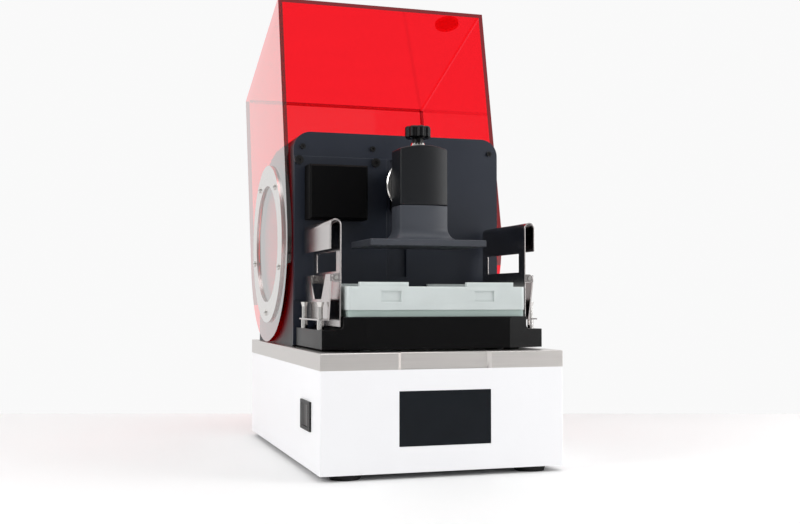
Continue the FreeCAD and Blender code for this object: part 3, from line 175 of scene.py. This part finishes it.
class Finish:
    """A node material that starts from one principled shader and object coordinates."""

    def __init__(self, name, colour, roughness, metallic=0.0, specular=0.5):
        self.material = bpy.data.materials.new(name)
        self.material.use_nodes = True
        self.tree = self.material.node_tree
        self.shader = self.tree.nodes["Principled BSDF"]
        self.colour = colour
        self.set("Base Color", colour)
        self.set("Roughness", roughness)
        self.set("Metallic", metallic)
        self.set("Specular IOR Level", specular)
        self.place = self.node("ShaderNodeTexCoord").outputs["Object"]

    def set(self, socket, value):
        self.shader.inputs[socket].default_value = value

    def node(self, kind, **settings):
        item = self.tree.nodes.new(kind)
        for key, value in settings.items():
            setattr(item, key, value)
        return item

    def link(self, start, end):
        self.tree.links.new(start, end)

    def fill(self, socket, value):
        """Give a socket a plain value or another socket's output."""
        if isinstance(value, (float, tuple)):
            socket.default_value = value
        else:
            self.link(value, socket)

    def math(self, operation, first, second=0.0):
        step = self.node("ShaderNodeMath", operation=operation)
        self.fill(step.inputs[0], first)
        self.fill(step.inputs[1], second)
        return step.outputs["Value"]

    def vector_math(self, operation, first, second=(0.0, 0.0, 0.0)):
        """Both outputs of a step on vectors, of which one holds the result."""
        step = self.node("ShaderNodeVectorMath", operation=operation)
        self.fill(step.inputs[0], first)
        self.fill(step.inputs[1], second)
        return step.outputs

    def blend(self, factor, first, second):
        mix = self.node("ShaderNodeMix", data_type="RGBA")
        self.link(factor, mix.inputs["Factor"])
        self.fill(mix.inputs["A"], first)
        self.fill(mix.inputs["B"], second)
        return mix.outputs["Result"]

    def stretched(self, scale):
        """Object coordinates scaled on each axis."""
        mapping = self.node("ShaderNodeMapping")
        mapping.inputs["Scale"].default_value = scale
        self.link(self.place, mapping.inputs["Vector"])
        return mapping.outputs["Vector"]

    def noise(self, scale, detail, place=None):
        texture = self.node("ShaderNodeTexNoise")
        texture.inputs["Scale"].default_value = scale
        texture.inputs["Detail"].default_value = detail
        self.link(place or self.place, texture.inputs["Vector"])
        return texture.outputs["Fac"]

    def line_noise(self, scale, detail, distance):
        """Noise that depends on one distance alone."""
        texture = self.node("ShaderNodeTexNoise", noise_dimensions="1D")
        texture.inputs["Scale"].default_value = scale
        texture.inputs["Detail"].default_value = detail
        self.link(distance, texture.inputs["W"])
        return texture.outputs["Fac"]

    def spread(self, factor, low, high):
        """Stretch a noise's middle range to run from low to high."""
        span = self.node("ShaderNodeMapRange")
        span.inputs["From Min"].default_value = NOISE_LOW
        span.inputs["From Max"].default_value = NOISE_HIGH
        span.inputs["To Min"].default_value = low
        span.inputs["To Max"].default_value = high
        self.link(factor, span.inputs["Value"])
        return span.outputs["Result"]

    def vary_roughness(self, factor, low, high):
        self.link(self.spread(factor, low, high), self.shader.inputs["Roughness"])

    def vary_tone(self, factor, darkest, lightest):
        """Let the colour run between two shares of its brightness."""
        dark = shade(self.colour, darkest)
        light = shade(self.colour, lightest)
        tone = self.blend(self.spread(factor, 0.0, 1.0), dark, light)
        self.link(tone, self.shader.inputs["Base Color"])

    def bump(self, factor, height, strength=1.0):
        relief = self.node("ShaderNodeBump")
        relief.inputs["Strength"].default_value = strength
        relief.inputs["Distance"].default_value = height
        self.link(factor, relief.inputs["Height"])
        self.link(relief.outputs["Normal"], self.shader.inputs["Normal"])


def powder_coat(name, colour, roughness, specular=0.5, grain=1400.0, uneven=0.04):
    """Sprayed coat: a fine orange-peel relief, with slightly uneven gloss and tone."""
    finish = Finish(name, colour, roughness, specular=specular)
    cloud = finish.noise(scale=18.0, detail=3.0)
    finish.vary_tone(cloud, darkest=1 - uneven, lightest=1 + uneven)
    finish.vary_roughness(cloud, low=roughness * 0.92, high=roughness * 1.08)
    finish.bump(finish.noise(scale=grain, detail=3.0), height=0.00004)
    return finish.material


def brushed_metal(name, colour, roughness, stretch):
    """Metal with straight brush lines: noise drawn out along one axis."""
    finish = Finish(name, colour, roughness, metallic=1.0)
    lines = finish.noise(scale=1.0, detail=3.0, place=finish.stretched(stretch))
    finish.vary_tone(lines, darkest=0.95, lightest=1.03)
    finish.vary_roughness(lines, low=roughness * 0.85, high=roughness * 1.15)
    finish.bump(lines, height=0.000004, strength=0.5)
    return finish.material


def turned_metal(name, colour, roughness, centre, across):
    """Metal with rings left by turning: noise that depends only on the distance from an axis."""
    finish = Finish(name, colour, roughness, metallic=1.0)
    offset = finish.vector_math("SUBTRACT", finish.place, tuple(centre))["Vector"]
    flat = finish.vector_math("MULTIPLY", offset, across)["Vector"]
    distance = finish.vector_math("LENGTH", flat)["Value"]
    rings = finish.line_noise(scale=1800.0, detail=3.0, distance=distance)
    finish.vary_tone(rings, darkest=0.94, lightest=1.03)
    finish.vary_roughness(rings, low=roughness * 0.85, high=roughness * 1.2)
    finish.bump(rings, height=0.000005, strength=0.5)
    return finish.material


def moulded(name, colour, roughness, specular=0.5):
    """Moulded plastic or rubber with a fine spark-eroded texture."""
    finish = Finish(name, colour, roughness, specular=specular)
    cloud = finish.noise(scale=30.0, detail=2.0)
    finish.vary_tone(cloud, darkest=0.92, lightest=1.06)
    finish.vary_roughness(cloud, low=roughness * 0.9, high=roughness * 1.1)
    finish.bump(finish.noise(scale=2200.0, detail=2.0), height=0.00005, strength=0.7)
    return finish.material


def looks_along(finish, direction, either_way=False):
    """One on the faces that look along a direction, or also against it, and zero on the others."""
    normal = finish.node("ShaderNodeTexCoord").outputs["Normal"]
    cosine = finish.vector_math("DOT_PRODUCT", normal, direction)["Value"]
    if either_way:
        cosine = finish.math("ABSOLUTE", cosine)
    return finish.math("GREATER_THAN", cosine, FACING_COSINE)


def sheet_gloss(finish):
    """Share of light that both faces of a sheet turn back, counted once on the face that light enters."""
    fresnel = finish.node("ShaderNodeFresnel")
    fresnel.inputs["IOR"].default_value = ACRYLIC_IOR
    one_face = fresnel.outputs["Fac"]
    doubled = finish.math("MULTIPLY", one_face, 2.0)
    both_faces = finish.math("DIVIDE", doubled, finish.math("ADD", one_face, 1.0))
    behind = finish.node("ShaderNodeNewGeometry").outputs["Backfacing"]
    return finish.math("MULTIPLY", both_faces, finish.math("SUBTRACT", 1.0, behind))


def tinted_acrylic(name, face_tint, sheet_normal, mouth_tint):
    """Clear red sheet: its faces tint what is behind it, and its gloss grows at shallow angles."""
    finish = Finish(name, face_tint, roughness=0.02)
    wipes = finish.noise(scale=1.0, detail=3.0, place=finish.stretched((9.0, 30.0, 14.0)))
    on_face = looks_along(finish, sheet_normal, either_way=True)
    on_mouth = looks_along(finish, MOUTH_NORMAL)
    # The cut edges round the hood's mouth are seen end on, so they are darker. The glued joints are faint.
    edge = finish.blend(on_mouth, JOINT_TINT, mouth_tint)
    face = finish.blend(finish.spread(wipes, 0.0, 1.0), shade(face_tint, 0.985), face_tint)
    clear = finish.node("ShaderNodeBsdfTransparent")
    finish.link(finish.blend(on_face, edge, face), clear.inputs["Color"])
    gloss = finish.node("ShaderNodeBsdfGlossy")
    gloss.inputs["Color"].default_value = grey(1.0)
    finish.link(finish.spread(wipes, 0.01, 0.05), gloss.inputs["Roughness"])
    bare = finish.math("MAXIMUM", on_face, on_mouth)
    mix = finish.node("ShaderNodeMixShader")
    finish.link(finish.math("MULTIPLY", sheet_gloss(finish), bare), mix.inputs["Fac"])
    finish.link(clear.outputs["BSDF"], mix.inputs[1])
    finish.link(gloss.outputs["BSDF"], mix.inputs[2])
    finish.link(mix.outputs["Shader"], finish.tree.nodes["Material Output"].inputs["Surface"])
    finish.tree.nodes.remove(finish.shader)
    return finish.material


def frosted_tray(name, colour, depth):
    """Milky translucent moulding: light sinks in to a depth and comes out nearby."""
    finish = Finish(name, colour, roughness=0.42)
    finish.set("Subsurface Weight", 0.5)
    finish.set("Subsurface Radius", (depth, depth, depth))
    finish.set("Subsurface Scale", 1.0)
    cloud = finish.noise(scale=40.0, detail=3.0)
    finish.vary_tone(cloud, darkest=0.96, lightest=1.02)
    finish.vary_roughness(cloud, low=0.36, high=0.48)
    finish.bump(finish.noise(scale=1600.0, detail=2.0), height=0.00004, strength=0.5)
    return finish.material


def screen_cover(name):
    """Dark cover glass with light finger marks in tone and gloss."""
    finish = Finish(name, srgb(19, 23, 28), roughness=0.08, specular=0.12)
    marks = finish.noise(scale=55.0, detail=4.0)
    finish.vary_tone(marks, darkest=0.9, lightest=1.08)
    finish.vary_roughness(marks, low=0.05, high=0.16)
    return finish.material


def clear_glass(name):
    """Clear sheet with faint marks in its gloss."""
    finish = Finish(name, (0.93, 0.97, 0.97, 1.0), roughness=0.02)
    finish.set("Transmission Weight", 1.0)
    finish.set("IOR", GLASS_IOR)
    finish.vary_roughness(finish.noise(scale=30.0, detail=2.0), low=0.0, high=0.04)
    return finish.material


def make_materials():
    """One finish for each material slot."""
    # How noise is drawn out into brush lines along each axis
    along_x = (12.0, 2600.0, 2600.0)
    along_y = (5000.0, 20.0, 5000.0)
    along_z = (3000.0, 3000.0, 12.0)
    # The hinges turn about X through the pivot, and the flange is turned about Y.
    pivot = middle("hinge_ring_left")
    flange = middle("arm_flange")
    across_x = (0, 1, 1)
    across_y = (1, 0, 1)
    coats = {
        "white_shell": dict(colour=srgb(244, 244, 246), roughness=0.4, grain=1800.0, uneven=0.006),
        "lens_black": dict(colour=srgb(26, 26, 28), roughness=0.4),
        "housing_black": dict(colour=srgb(26, 27, 30), roughness=0.45, specular=0.3),
        "panel_black": dict(colour=srgb(23, 30, 44), roughness=0.4, specular=0.48),
        "heater_black": dict(colour=srgb(5, 5, 6), roughness=0.55, specular=0.08),
        "screw_black": dict(colour=srgb(12, 12, 13), roughness=0.3, specular=0.4),
        "arm_charcoal": dict(colour=srgb(16, 18, 22), roughness=0.38, specular=0.32),
        "platform_grey": dict(colour=srgb(66, 69, 76), roughness=0.42, specular=0.3),
        "bed_black": dict(colour=srgb(8, 8, 9), roughness=0.32, specular=0.1),
        "hub_black": dict(colour=srgb(32, 32, 34), roughness=0.4),
    }
    brushed_metals = {
        "steel_plate": dict(colour=srgb(175, 175, 178), roughness=0.35, stretch=along_z),
        "deck_aluminium": dict(colour=srgb(208, 204, 201), roughness=0.36, stretch=along_x),
        "engine_metal": dict(colour=srgb(160, 160, 163), roughness=0.4, stretch=along_y),
        "standoff_brass": dict(colour=srgb(205, 170, 96), roughness=0.35, stretch=along_z),
        "latch_steel": dict(colour=srgb(184, 179, 178), roughness=0.2, stretch=along_y),
    }
    turned_metals = {
        "polished_steel": dict(colour=srgb(218, 216, 213), roughness=0.16, centre=flange, across=across_y),
        "ring_steel": dict(colour=srgb(216, 213, 211), roughness=0.24, centre=pivot, across=across_x),
        "bush_bronze": dict(colour=srgb(180, 140, 90), roughness=0.35, centre=pivot, across=across_x),
    }
    mouldings = {
        "foot_rubber": dict(colour=srgb(26, 26, 27), roughness=0.75, specular=0.3),
        "black_plastic": dict(colour=srgb(20, 20, 22), roughness=0.5, specular=0.3),
        "switch_bezel": dict(colour=srgb(18, 18, 19), roughness=0.45, specular=0.3),
        "switch_rocker": dict(colour=srgb(10, 10, 11), roughness=0.35, specular=0.25),
        "board_green": dict(colour=srgb(30, 92, 58), roughness=0.4),
        "knob_black": dict(colour=srgb(6, 6, 8), roughness=0.3, specular=0.18),
    }
    trays = {
        "tray_frosted": dict(colour=srgb(205, 212, 211), depth=0.005),
        "tray_band": dict(colour=srgb(168, 184, 179), depth=0.004),
    }
    families = ((powder_coat, coats), (brushed_metal, brushed_metals), (turned_metal, turned_metals),
                (moulded, mouldings), (frosted_tray, trays))
    materials = {}
    for make, settings in families:
        for name, values in settings.items():
            materials[name] = make(name, **values)
    for name in ("tray_film", "window_glass"):
        materials[name] = clear_glass(name)
    materials["screen_glass"] = screen_cover("screen_glass")
    materials["hood_acrylic"] = tinted_acrylic("hood_acrylic", HOOD_TINT, SIDE_NORMAL, HOOD_EDGE)
    return materials


def dress_nodes(materials):
    """Give each CAD node its slot's finish, and the hood's sheets one for the way that each looks."""
    for part in frame["record"]["subparts"]:
        piece = nodes[part["node"]]
        piece.data.materials.clear()
        piece.data.materials.append(materials[part["material_slot"]])
    # The roof looks the same way as the hood's mouth. The disc doubles the front sheet, so it is deeper red.
    hood_sheets = {
        "hood_front": (HOOD_TINT, FRONT_NORMAL, HOOD_EDGE),
        "hood_roof": (HOOD_TINT, MOUTH_NORMAL, HOOD_EDGE),
        "hood_pull_disc": (DISC_TINT, FRONT_NORMAL, JOINT_TINT),
    }
    for name, (face_tint, sheet_normal, mouth_tint) in hood_sheets.items():
        nodes[name].data.materials[0] = tinted_acrylic(name, face_tint, sheet_normal, mouth_tint)


def bevel_edges(piece, width):
    bevel = piece.modifiers.new("ease", "BEVEL")
    bevel.width = width
    bevel.segments = EASE_SEGMENTS
    bevel.limit_method = "ANGLE"
    bevel.angle_limit = math.radians(EASE_ANGLE)
    bevel.harden_normals = True


def ease_edges(width, *names):
    """Break the sharp edges of rigid pieces, so that they catch a thin light."""
    for name in names:
        weld = nodes[name].modifiers.new("weld", "WELD")
        weld.merge_threshold = WELD_DISTANCE
        bevel_edges(nodes[name], width)


def add_object(name, data):
    item = bpy.data.objects.new(name, data)
    bpy.context.scene.collection.objects.link(item)
    return item


def add_piece(name, points, faces, body, slot, materials, stands_for=()):
    """A new mesh that rides on a body, takes a slot's finish and may stand for CAD nodes."""
    mesh = bpy.data.meshes.new(name)
    mesh.from_pydata(points, [], faces)
    work = bmesh.new()
    work.from_mesh(mesh)
    bmesh.ops.recalc_face_normals(work, faces=work.faces)
    work.to_mesh(mesh)
    work.free()
    mesh.polygons.foreach_set("use_smooth", [True] * len(mesh.polygons))
    mesh.set_sharp_from_angle(angle=math.radians(SHARP_ANGLE))
    mesh.materials.append(materials[slot])
    piece = add_object(name, mesh)
    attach(piece, body)
    if stands_for:
        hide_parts(*stands_for)
    return piece


def skin(count, sections):
    """Faces over a row of sections with that many points each, closed at both ends."""
    last = count * (sections - 1)
    faces = [tuple(range(count)), tuple(range(last, last + count))]
    for start in range(0, last, count):
        for step in range(count):
            here = start + step
            beside = start + (step + 1) % count
            faces.append((here, beside, beside + count, here + count))
    return faces


def rectangle(low, high, z):
    """Corners of a level rectangle at a height."""
    return [(low[0], low[1], z), (high[0], low[1], z), (high[0], high[1], z), (low[0], high[1], z)]


def turned(axis, centre, rings, lobes=0):
    """Points and faces of a form turned about an axis.

    Each ring is its place along the axis, its radius and the depth of the scallops between its lobes.
    """
    # Which of the two places across the axis and the one along it goes to X, Y and Z
    order = {"X": (2, 0, 1), "Y": (0, 2, 1), "Z": (0, 1, 2)}[axis]
    points = []
    for along, radius, scallop in rings:
        for step in range(TURN_STEPS):
            angle = 2 * math.pi * step / TURN_STEPS
            reach = radius - scallop * (0.5 - 0.5 * math.cos(lobes * angle)) ** 2
            local = (reach * math.cos(angle), reach * math.sin(angle), along)
            points.append(tuple(centre[spot] + local[order[spot]] for spot in range(3)))
    return points, skin(TURN_STEPS, len(rings))


def arc_drop(offset, half, rise):
    """How far an arc of that rise over that half width has dropped at an offset from its middle."""
    radius = (half * half + rise * rise) / (2 * rise)
    return radius - math.sqrt(radius * radius - offset * offset)


def make_arm(materials):
    """The arm with its bowed front and arched top."""
    low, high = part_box("arm_body")
    centre = middle("arm_body").x
    half = (high[0] - low[0]) / 2
    rear = arm_rear()
    points = []
    for step in range(ARM_STEPS + 1):
        offset = half * (2 * step / ARM_STEPS - 1)
        x = centre + offset
        front = low[1] + arc_drop(offset, half, ARM_BOW)
        top = high[2] + ARM_ARCH - arc_drop(offset, half, ARM_ARCH)
        section = [(x, front, low[2]), (x, front, top), (x, rear, top), (x, rear, low[2])]
        points += section
    faces = skin(len(section), ARM_STEPS + 1)
    arm = add_piece("arm_casting", points, faces, "z_arm", "arm_charcoal", materials, ["arm_body"])
    bevel_edges(arm, ARM_EASE)


def make_flange(materials):
    """The polished flange that the arm is bolted to, with its boss."""
    front = arm_rear()
    rear = front + FLANGE_THICK
    bar_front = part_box("arm_bar")[0][1]
    boss_end = max(bar_front, rear) + BOSS_LAP
    face_radius = FLANGE_RADIUS - FLANGE_EDGE
    rings = [(front, face_radius, 0), (front + FLANGE_EDGE, FLANGE_RADIUS, 0),
             (rear - FLANGE_EDGE, FLANGE_RADIUS, 0), (rear, face_radius, 0),
             (rear, BOSS_RADIUS, 0), (boss_end, BOSS_RADIUS, 0)]
    centre = middle("arm_flange")
    points, faces = turned("Y", (centre.x, 0, centre.z), rings)
    add_piece("arm_flange_disc", points, faces, "z_arm", "polished_steel", materials, ["arm_flange"])


def neck_outline():
    """Points just inside the platform's neck, each with the direction in which the flare leaves it."""
    low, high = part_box("arm_body")
    centre = middle("arm_body").x
    half = (high[0] - low[0]) / 2 - NECK_CORNER
    front = low[1] + NECK_CORNER
    rear = arm_rear() - NECK_CORNER
    turn = 2 * math.atan2(ARM_BOW, half)
    outline = []
    for step in range(2 * NECK_STEPS + 1):
        share = step / NECK_STEPS - 1
        offset = half * share
        angle = turn * share - math.pi / 2
        outline.append((centre + offset, front + arc_drop(offset, half, ARM_BOW), angle))
    side = front + ARM_BOW
    corners = ((half, side, turn - math.pi / 2, 0), (half, rear, 0, math.pi / 2),
               (-half, rear, math.pi / 2, math.pi), (-half, side, math.pi, 3 * math.pi / 2 - turn))
    for offset, y, first, last in corners:
        for step in range(1, NECK_STEPS):
            outline.append((centre + offset, y, first + (last - first) * step / NECK_STEPS))
    return outline


def make_platform(materials):
    """Build plate with a neck of the arm's section, which flares into it."""
    low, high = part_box("build_platform")
    plate_top = low[2] + PLATE_THICK
    # Each level of the neck is its height and how far the flare has spread there.
    levels = [(high[2], 0)]
    for step in range(FLARE_STEPS + 1):
        angle = math.pi / 2 * step / FLARE_STEPS
        levels.append((plate_top + NECK_FLARE * (1 - math.sin(angle)), NECK_FLARE * (1 - math.cos(angle))))
    outline = neck_outline()
    points = []
    for z, spread in levels:
        reach = NECK_CORNER + spread
        for x, y, angle in outline:
            points.append((x + reach * math.cos(angle), y + reach * math.sin(angle), z))
    faces = skin(len(outline), len(levels))
    first = len(points)
    plate_bottom = rectangle(low, high, low[2])
    points += plate_bottom + rectangle(low, high, plate_top)
    for face in skin(len(plate_bottom), 2):
        faces.append(tuple(first + corner for corner in face))
    plate = add_piece("flared_platform", points, faces, "platform", "platform_grey", materials,
                      ["build_platform"])
    bevel_edges(plate, PLATE_EASE)


def make_knob(materials):
    """Star knob on its neck, above the collar."""
    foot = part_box("knob_collar")[1][2]
    low = foot + KNOB_LIFT
    top = low + KNOB_HEIGHT
    rim = KNOB_RADIUS - KNOB_EDGE
    rings = [(foot, KNOB_NECK, 0), (low, KNOB_NECK, 0), (low, rim, KNOB_SCALLOP),
             (low + KNOB_EDGE, KNOB_RADIUS, KNOB_SCALLOP), (top - KNOB_EDGE, KNOB_RADIUS, KNOB_SCALLOP),
             (top, rim, KNOB_SCALLOP), (top + KNOB_CROWN, KNOB_NECK, 0)]
    centre = middle("clamp_knob")
    points, faces = turned("Z", (centre.x, centre.y, 0), rings, KNOB_LOBES)
    add_piece("star_knob", points, faces, "knob", "knob_black", materials, ["clamp_knob"])


def make_slot_shade_strip(materials):
    """Black strip behind the front panel, with a window for the arm's bar: painted shade, a dark sheet that
    stands in for the shade inside the slot.
    """
    low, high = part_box("arm_bar")
    centre = middle("arm_bar").x
    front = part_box("rear_housing")[0][1] + SHADE_STRIP_GAP
    outer = ((centre - SHADE_STRIP_HALF, low[2] - SHADE_STRIP_BELOW), (centre + SHADE_STRIP_HALF, high[2] + SHADE_STRIP_ABOVE))
    window = ((low[0], low[2]), (high[0], high[2]))
    points = []
    for y in (front, front + SHADE_STRIP_THICK):
        for (left, bottom), (right, top) in (outer, window):
            points += [(left, y, bottom), (right, y, bottom), (right, y, top), (left, y, top)]
    corners = 4
    to_window = corners
    to_back = 2 * corners
    # Front and back run from the outer edge to the window, and both edges run from front to back.
    walls = ((0, to_window), (to_back, to_window), (0, to_back), (to_window, to_back))
    faces = []
    for start, across in walls:
        for corner in range(corners):
            here = start + corner
            beside = start + (corner + 1) % corners
            faces.append((here, beside, beside + across, here + across))
    # Painted shade: this dark strip makes the slot read as shaded
    add_piece("slot_shade_strip", points, faces, "z_arm", "panel_black", materials)


def make_hub_webs(materials):
    """A dished web closes each hinge hub behind the side sheet."""
    low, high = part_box("hinge_hubs")
    centre = middle("hinge_ring_left")
    rim = HUB_BORE - WEB_CLEARANCE
    for name, face, inward in (("hub_web_left", low[0], 1), ("hub_web_right", high[0], -1)):
        outside = face + inward * WEB_THICK
        inside = outside + inward * WEB_THICK
        dish = inward * WEB_DISH
        rings = [(outside, rim, 0), (outside + dish, WEB_FLOOR_RADIUS, 0),
                 (inside + dish, WEB_FLOOR_RADIUS, 0), (inside, rim, 0)]
        points, faces = turned("X", (0, centre.y, centre.z), rings)
        add_piece(name, points, faces, "hood", "steel_plate", materials)


def make_disc():
    """The pull disc, at its place in the photograph: its solid's form moved along the front sheet."""
    along_sheet = Vector((0.0, FRONT_NORMAL[2], -FRONT_NORMAL[1]))
    mesh = nodes["hood_pull_disc"].data.copy()
    mesh.transform(Matrix.Translation(along_sheet * DISC_SHIFT))
    disc = add_object("pull_disc", mesh)
    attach(disc, "hood")
    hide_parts("hood_pull_disc")


def make_camera():
    data = bpy.data.cameras.new("photo_camera")
    data.sensor_width = SENSOR
    data.lens = PHOTO_FOCAL * SENSOR / PHOTO_WIDTH
    camera = add_object("photo_camera", data)
    camera.location = base_middle() + CAMERA_FROM_BASE
    camera.rotation_euler = (math.radians(LEVEL_VIEW + CAMERA_PITCH), 0, -math.radians(CAMERA_YAW))
    bpy.context.scene.camera = camera
    return camera


def seen_directly(tree):
    """One where a ray comes from the camera, a reflection or clear material, and zero elsewhere."""
    path = tree.nodes.new("ShaderNodeLightPath")
    total = path.outputs["Is Camera Ray"]
    for name in ("Is Glossy Ray", "Is Transmission Ray"):
        add = tree.nodes.new("ShaderNodeMath")
        add.operation = "ADD"
        add.use_clamp = True
        tree.links.new(total, add.inputs[0])
        tree.links.new(path.outputs[name], add.inputs[1])
        total = add.outputs["Value"]
    return total


def backdrop_material(name, seen, lit):
    """White to the camera and in reflections, an ordinary pale surface to other light, clear from behind."""
    material = bpy.data.materials.new(name)
    material.use_nodes = True
    tree = material.node_tree
    tree.nodes.clear()
    diffuse = tree.nodes.new("ShaderNodeBsdfDiffuse")
    diffuse.inputs["Color"].default_value = grey(lit)
    glow = tree.nodes.new("ShaderNodeEmission")
    glow.inputs["Color"].default_value = grey(seen)
    front = tree.nodes.new("ShaderNodeMixShader")
    tree.links.new(seen_directly(tree), front.inputs["Fac"])
    tree.links.new(diffuse.outputs["BSDF"], front.inputs[1])
    tree.links.new(glow.outputs["Emission"], front.inputs[2])
    # Clear from behind, so that views of the object's back see past it
    clear = tree.nodes.new("ShaderNodeBsdfTransparent")
    behind = tree.nodes.new("ShaderNodeNewGeometry").outputs["Backfacing"]
    both = tree.nodes.new("ShaderNodeMixShader")
    tree.links.new(behind, both.inputs["Fac"])
    tree.links.new(front.outputs["Shader"], both.inputs[1])
    tree.links.new(clear.outputs["BSDF"], both.inputs[2])
    output = tree.nodes.new("ShaderNodeOutputMaterial")
    tree.links.new(both.outputs["Shader"], output.inputs["Surface"])
    return material


def flat_sheet(name, corners, material):
    """A part of the stage: one flat face."""
    mesh = bpy.data.meshes.new(name)
    mesh.from_pydata(corners, [], [tuple(range(len(corners)))])
    mesh.materials.append(material)
    add_object(name, mesh)


def make_stage(camera):
    """A pale floor, and a white wall that stands square to the camera's view."""
    near = (-STAGE_REACH, -STAGE_REACH)
    far = (STAGE_REACH, STAGE_REACH)
    floor_paint = Finish("floor_paint", grey(FLOOR_TONE), FLOOR_ROUGHNESS).material
    flat_sheet("floor", rectangle(near, far, 0), floor_paint)
    yaw = math.radians(CAMERA_YAW)
    ahead = Vector((math.sin(yaw), math.cos(yaw), 0))
    aside = Vector((math.cos(yaw), -math.sin(yaw), 0))
    foot = Vector((camera.location.x, camera.location.y, 0)) + ahead * WALL_DISTANCE
    left = foot - aside * STAGE_REACH
    right = foot + aside * STAGE_REACH
    up = Vector((0, 0, STAGE_REACH))
    wall_paint = backdrop_material("wall_paint", WALL_SEEN, WALL_LIT)
    flat_sheet("wall", [left, right, right + up, left + up], wall_paint)


def make_world():
    """White where the camera looks past the stage, and a softer grey in what it lights and reflects."""
    world = bpy.data.worlds.new("studio")
    bpy.context.scene.world = world
    world.use_nodes = True
    tree = world.node_tree
    background = tree.nodes["Background"]
    background.inputs["Color"].default_value = grey(1.0)
    path = tree.nodes.new("ShaderNodeLightPath")
    level = tree.nodes.new("ShaderNodeMapRange")
    level.inputs["To Min"].default_value = WORLD_LIT
    level.inputs["To Max"].default_value = WORLD_SEEN
    tree.links.new(path.outputs["Is Camera Ray"], level.inputs["Value"])
    tree.links.new(level.outputs["Result"], background.inputs["Strength"])


def soft_lamp(name, place, width, watts):
    """A square lamp that looks at the object."""
    data = bpy.data.lights.new(name, "AREA")
    data.shape = "SQUARE"
    data.size = width
    data.energy = watts
    lamp = add_object(name, data)
    lamp.location = place
    lamp.rotation_euler = (Vector(LAMP_AIM) - Vector(place)).to_track_quat("-Z", "Y").to_euler()


def make_lamps():
    soft_lamp("right_key", place=(1.9, -1.2, 0.8), width=1.3, watts=26)
    soft_lamp("left_fill", place=(-1.9, -0.7, 1.2), width=1.1, watts=20.5)
    soft_lamp("top", place=(0.1, -0.2, 2.1), width=1.4, watts=12)


materials = make_materials()
dress_nodes(materials)
make_arm(materials)
make_flange(materials)
make_platform(materials)
make_knob(materials)
make_slot_shade_strip(materials)
make_hub_webs(materials)
make_disc()
ease_edges(SHEET_EASE, "base_shell", "deck_plate", "front_panel", "heater_plate", "tray_body", "tray_base",
           "latch_handle_left", "latch_handle_right")
photo_camera = make_camera()
make_stage(photo_camera)
make_world()
make_lamps()
bpy.context.scene.view_settings.view_transform = "Standard"
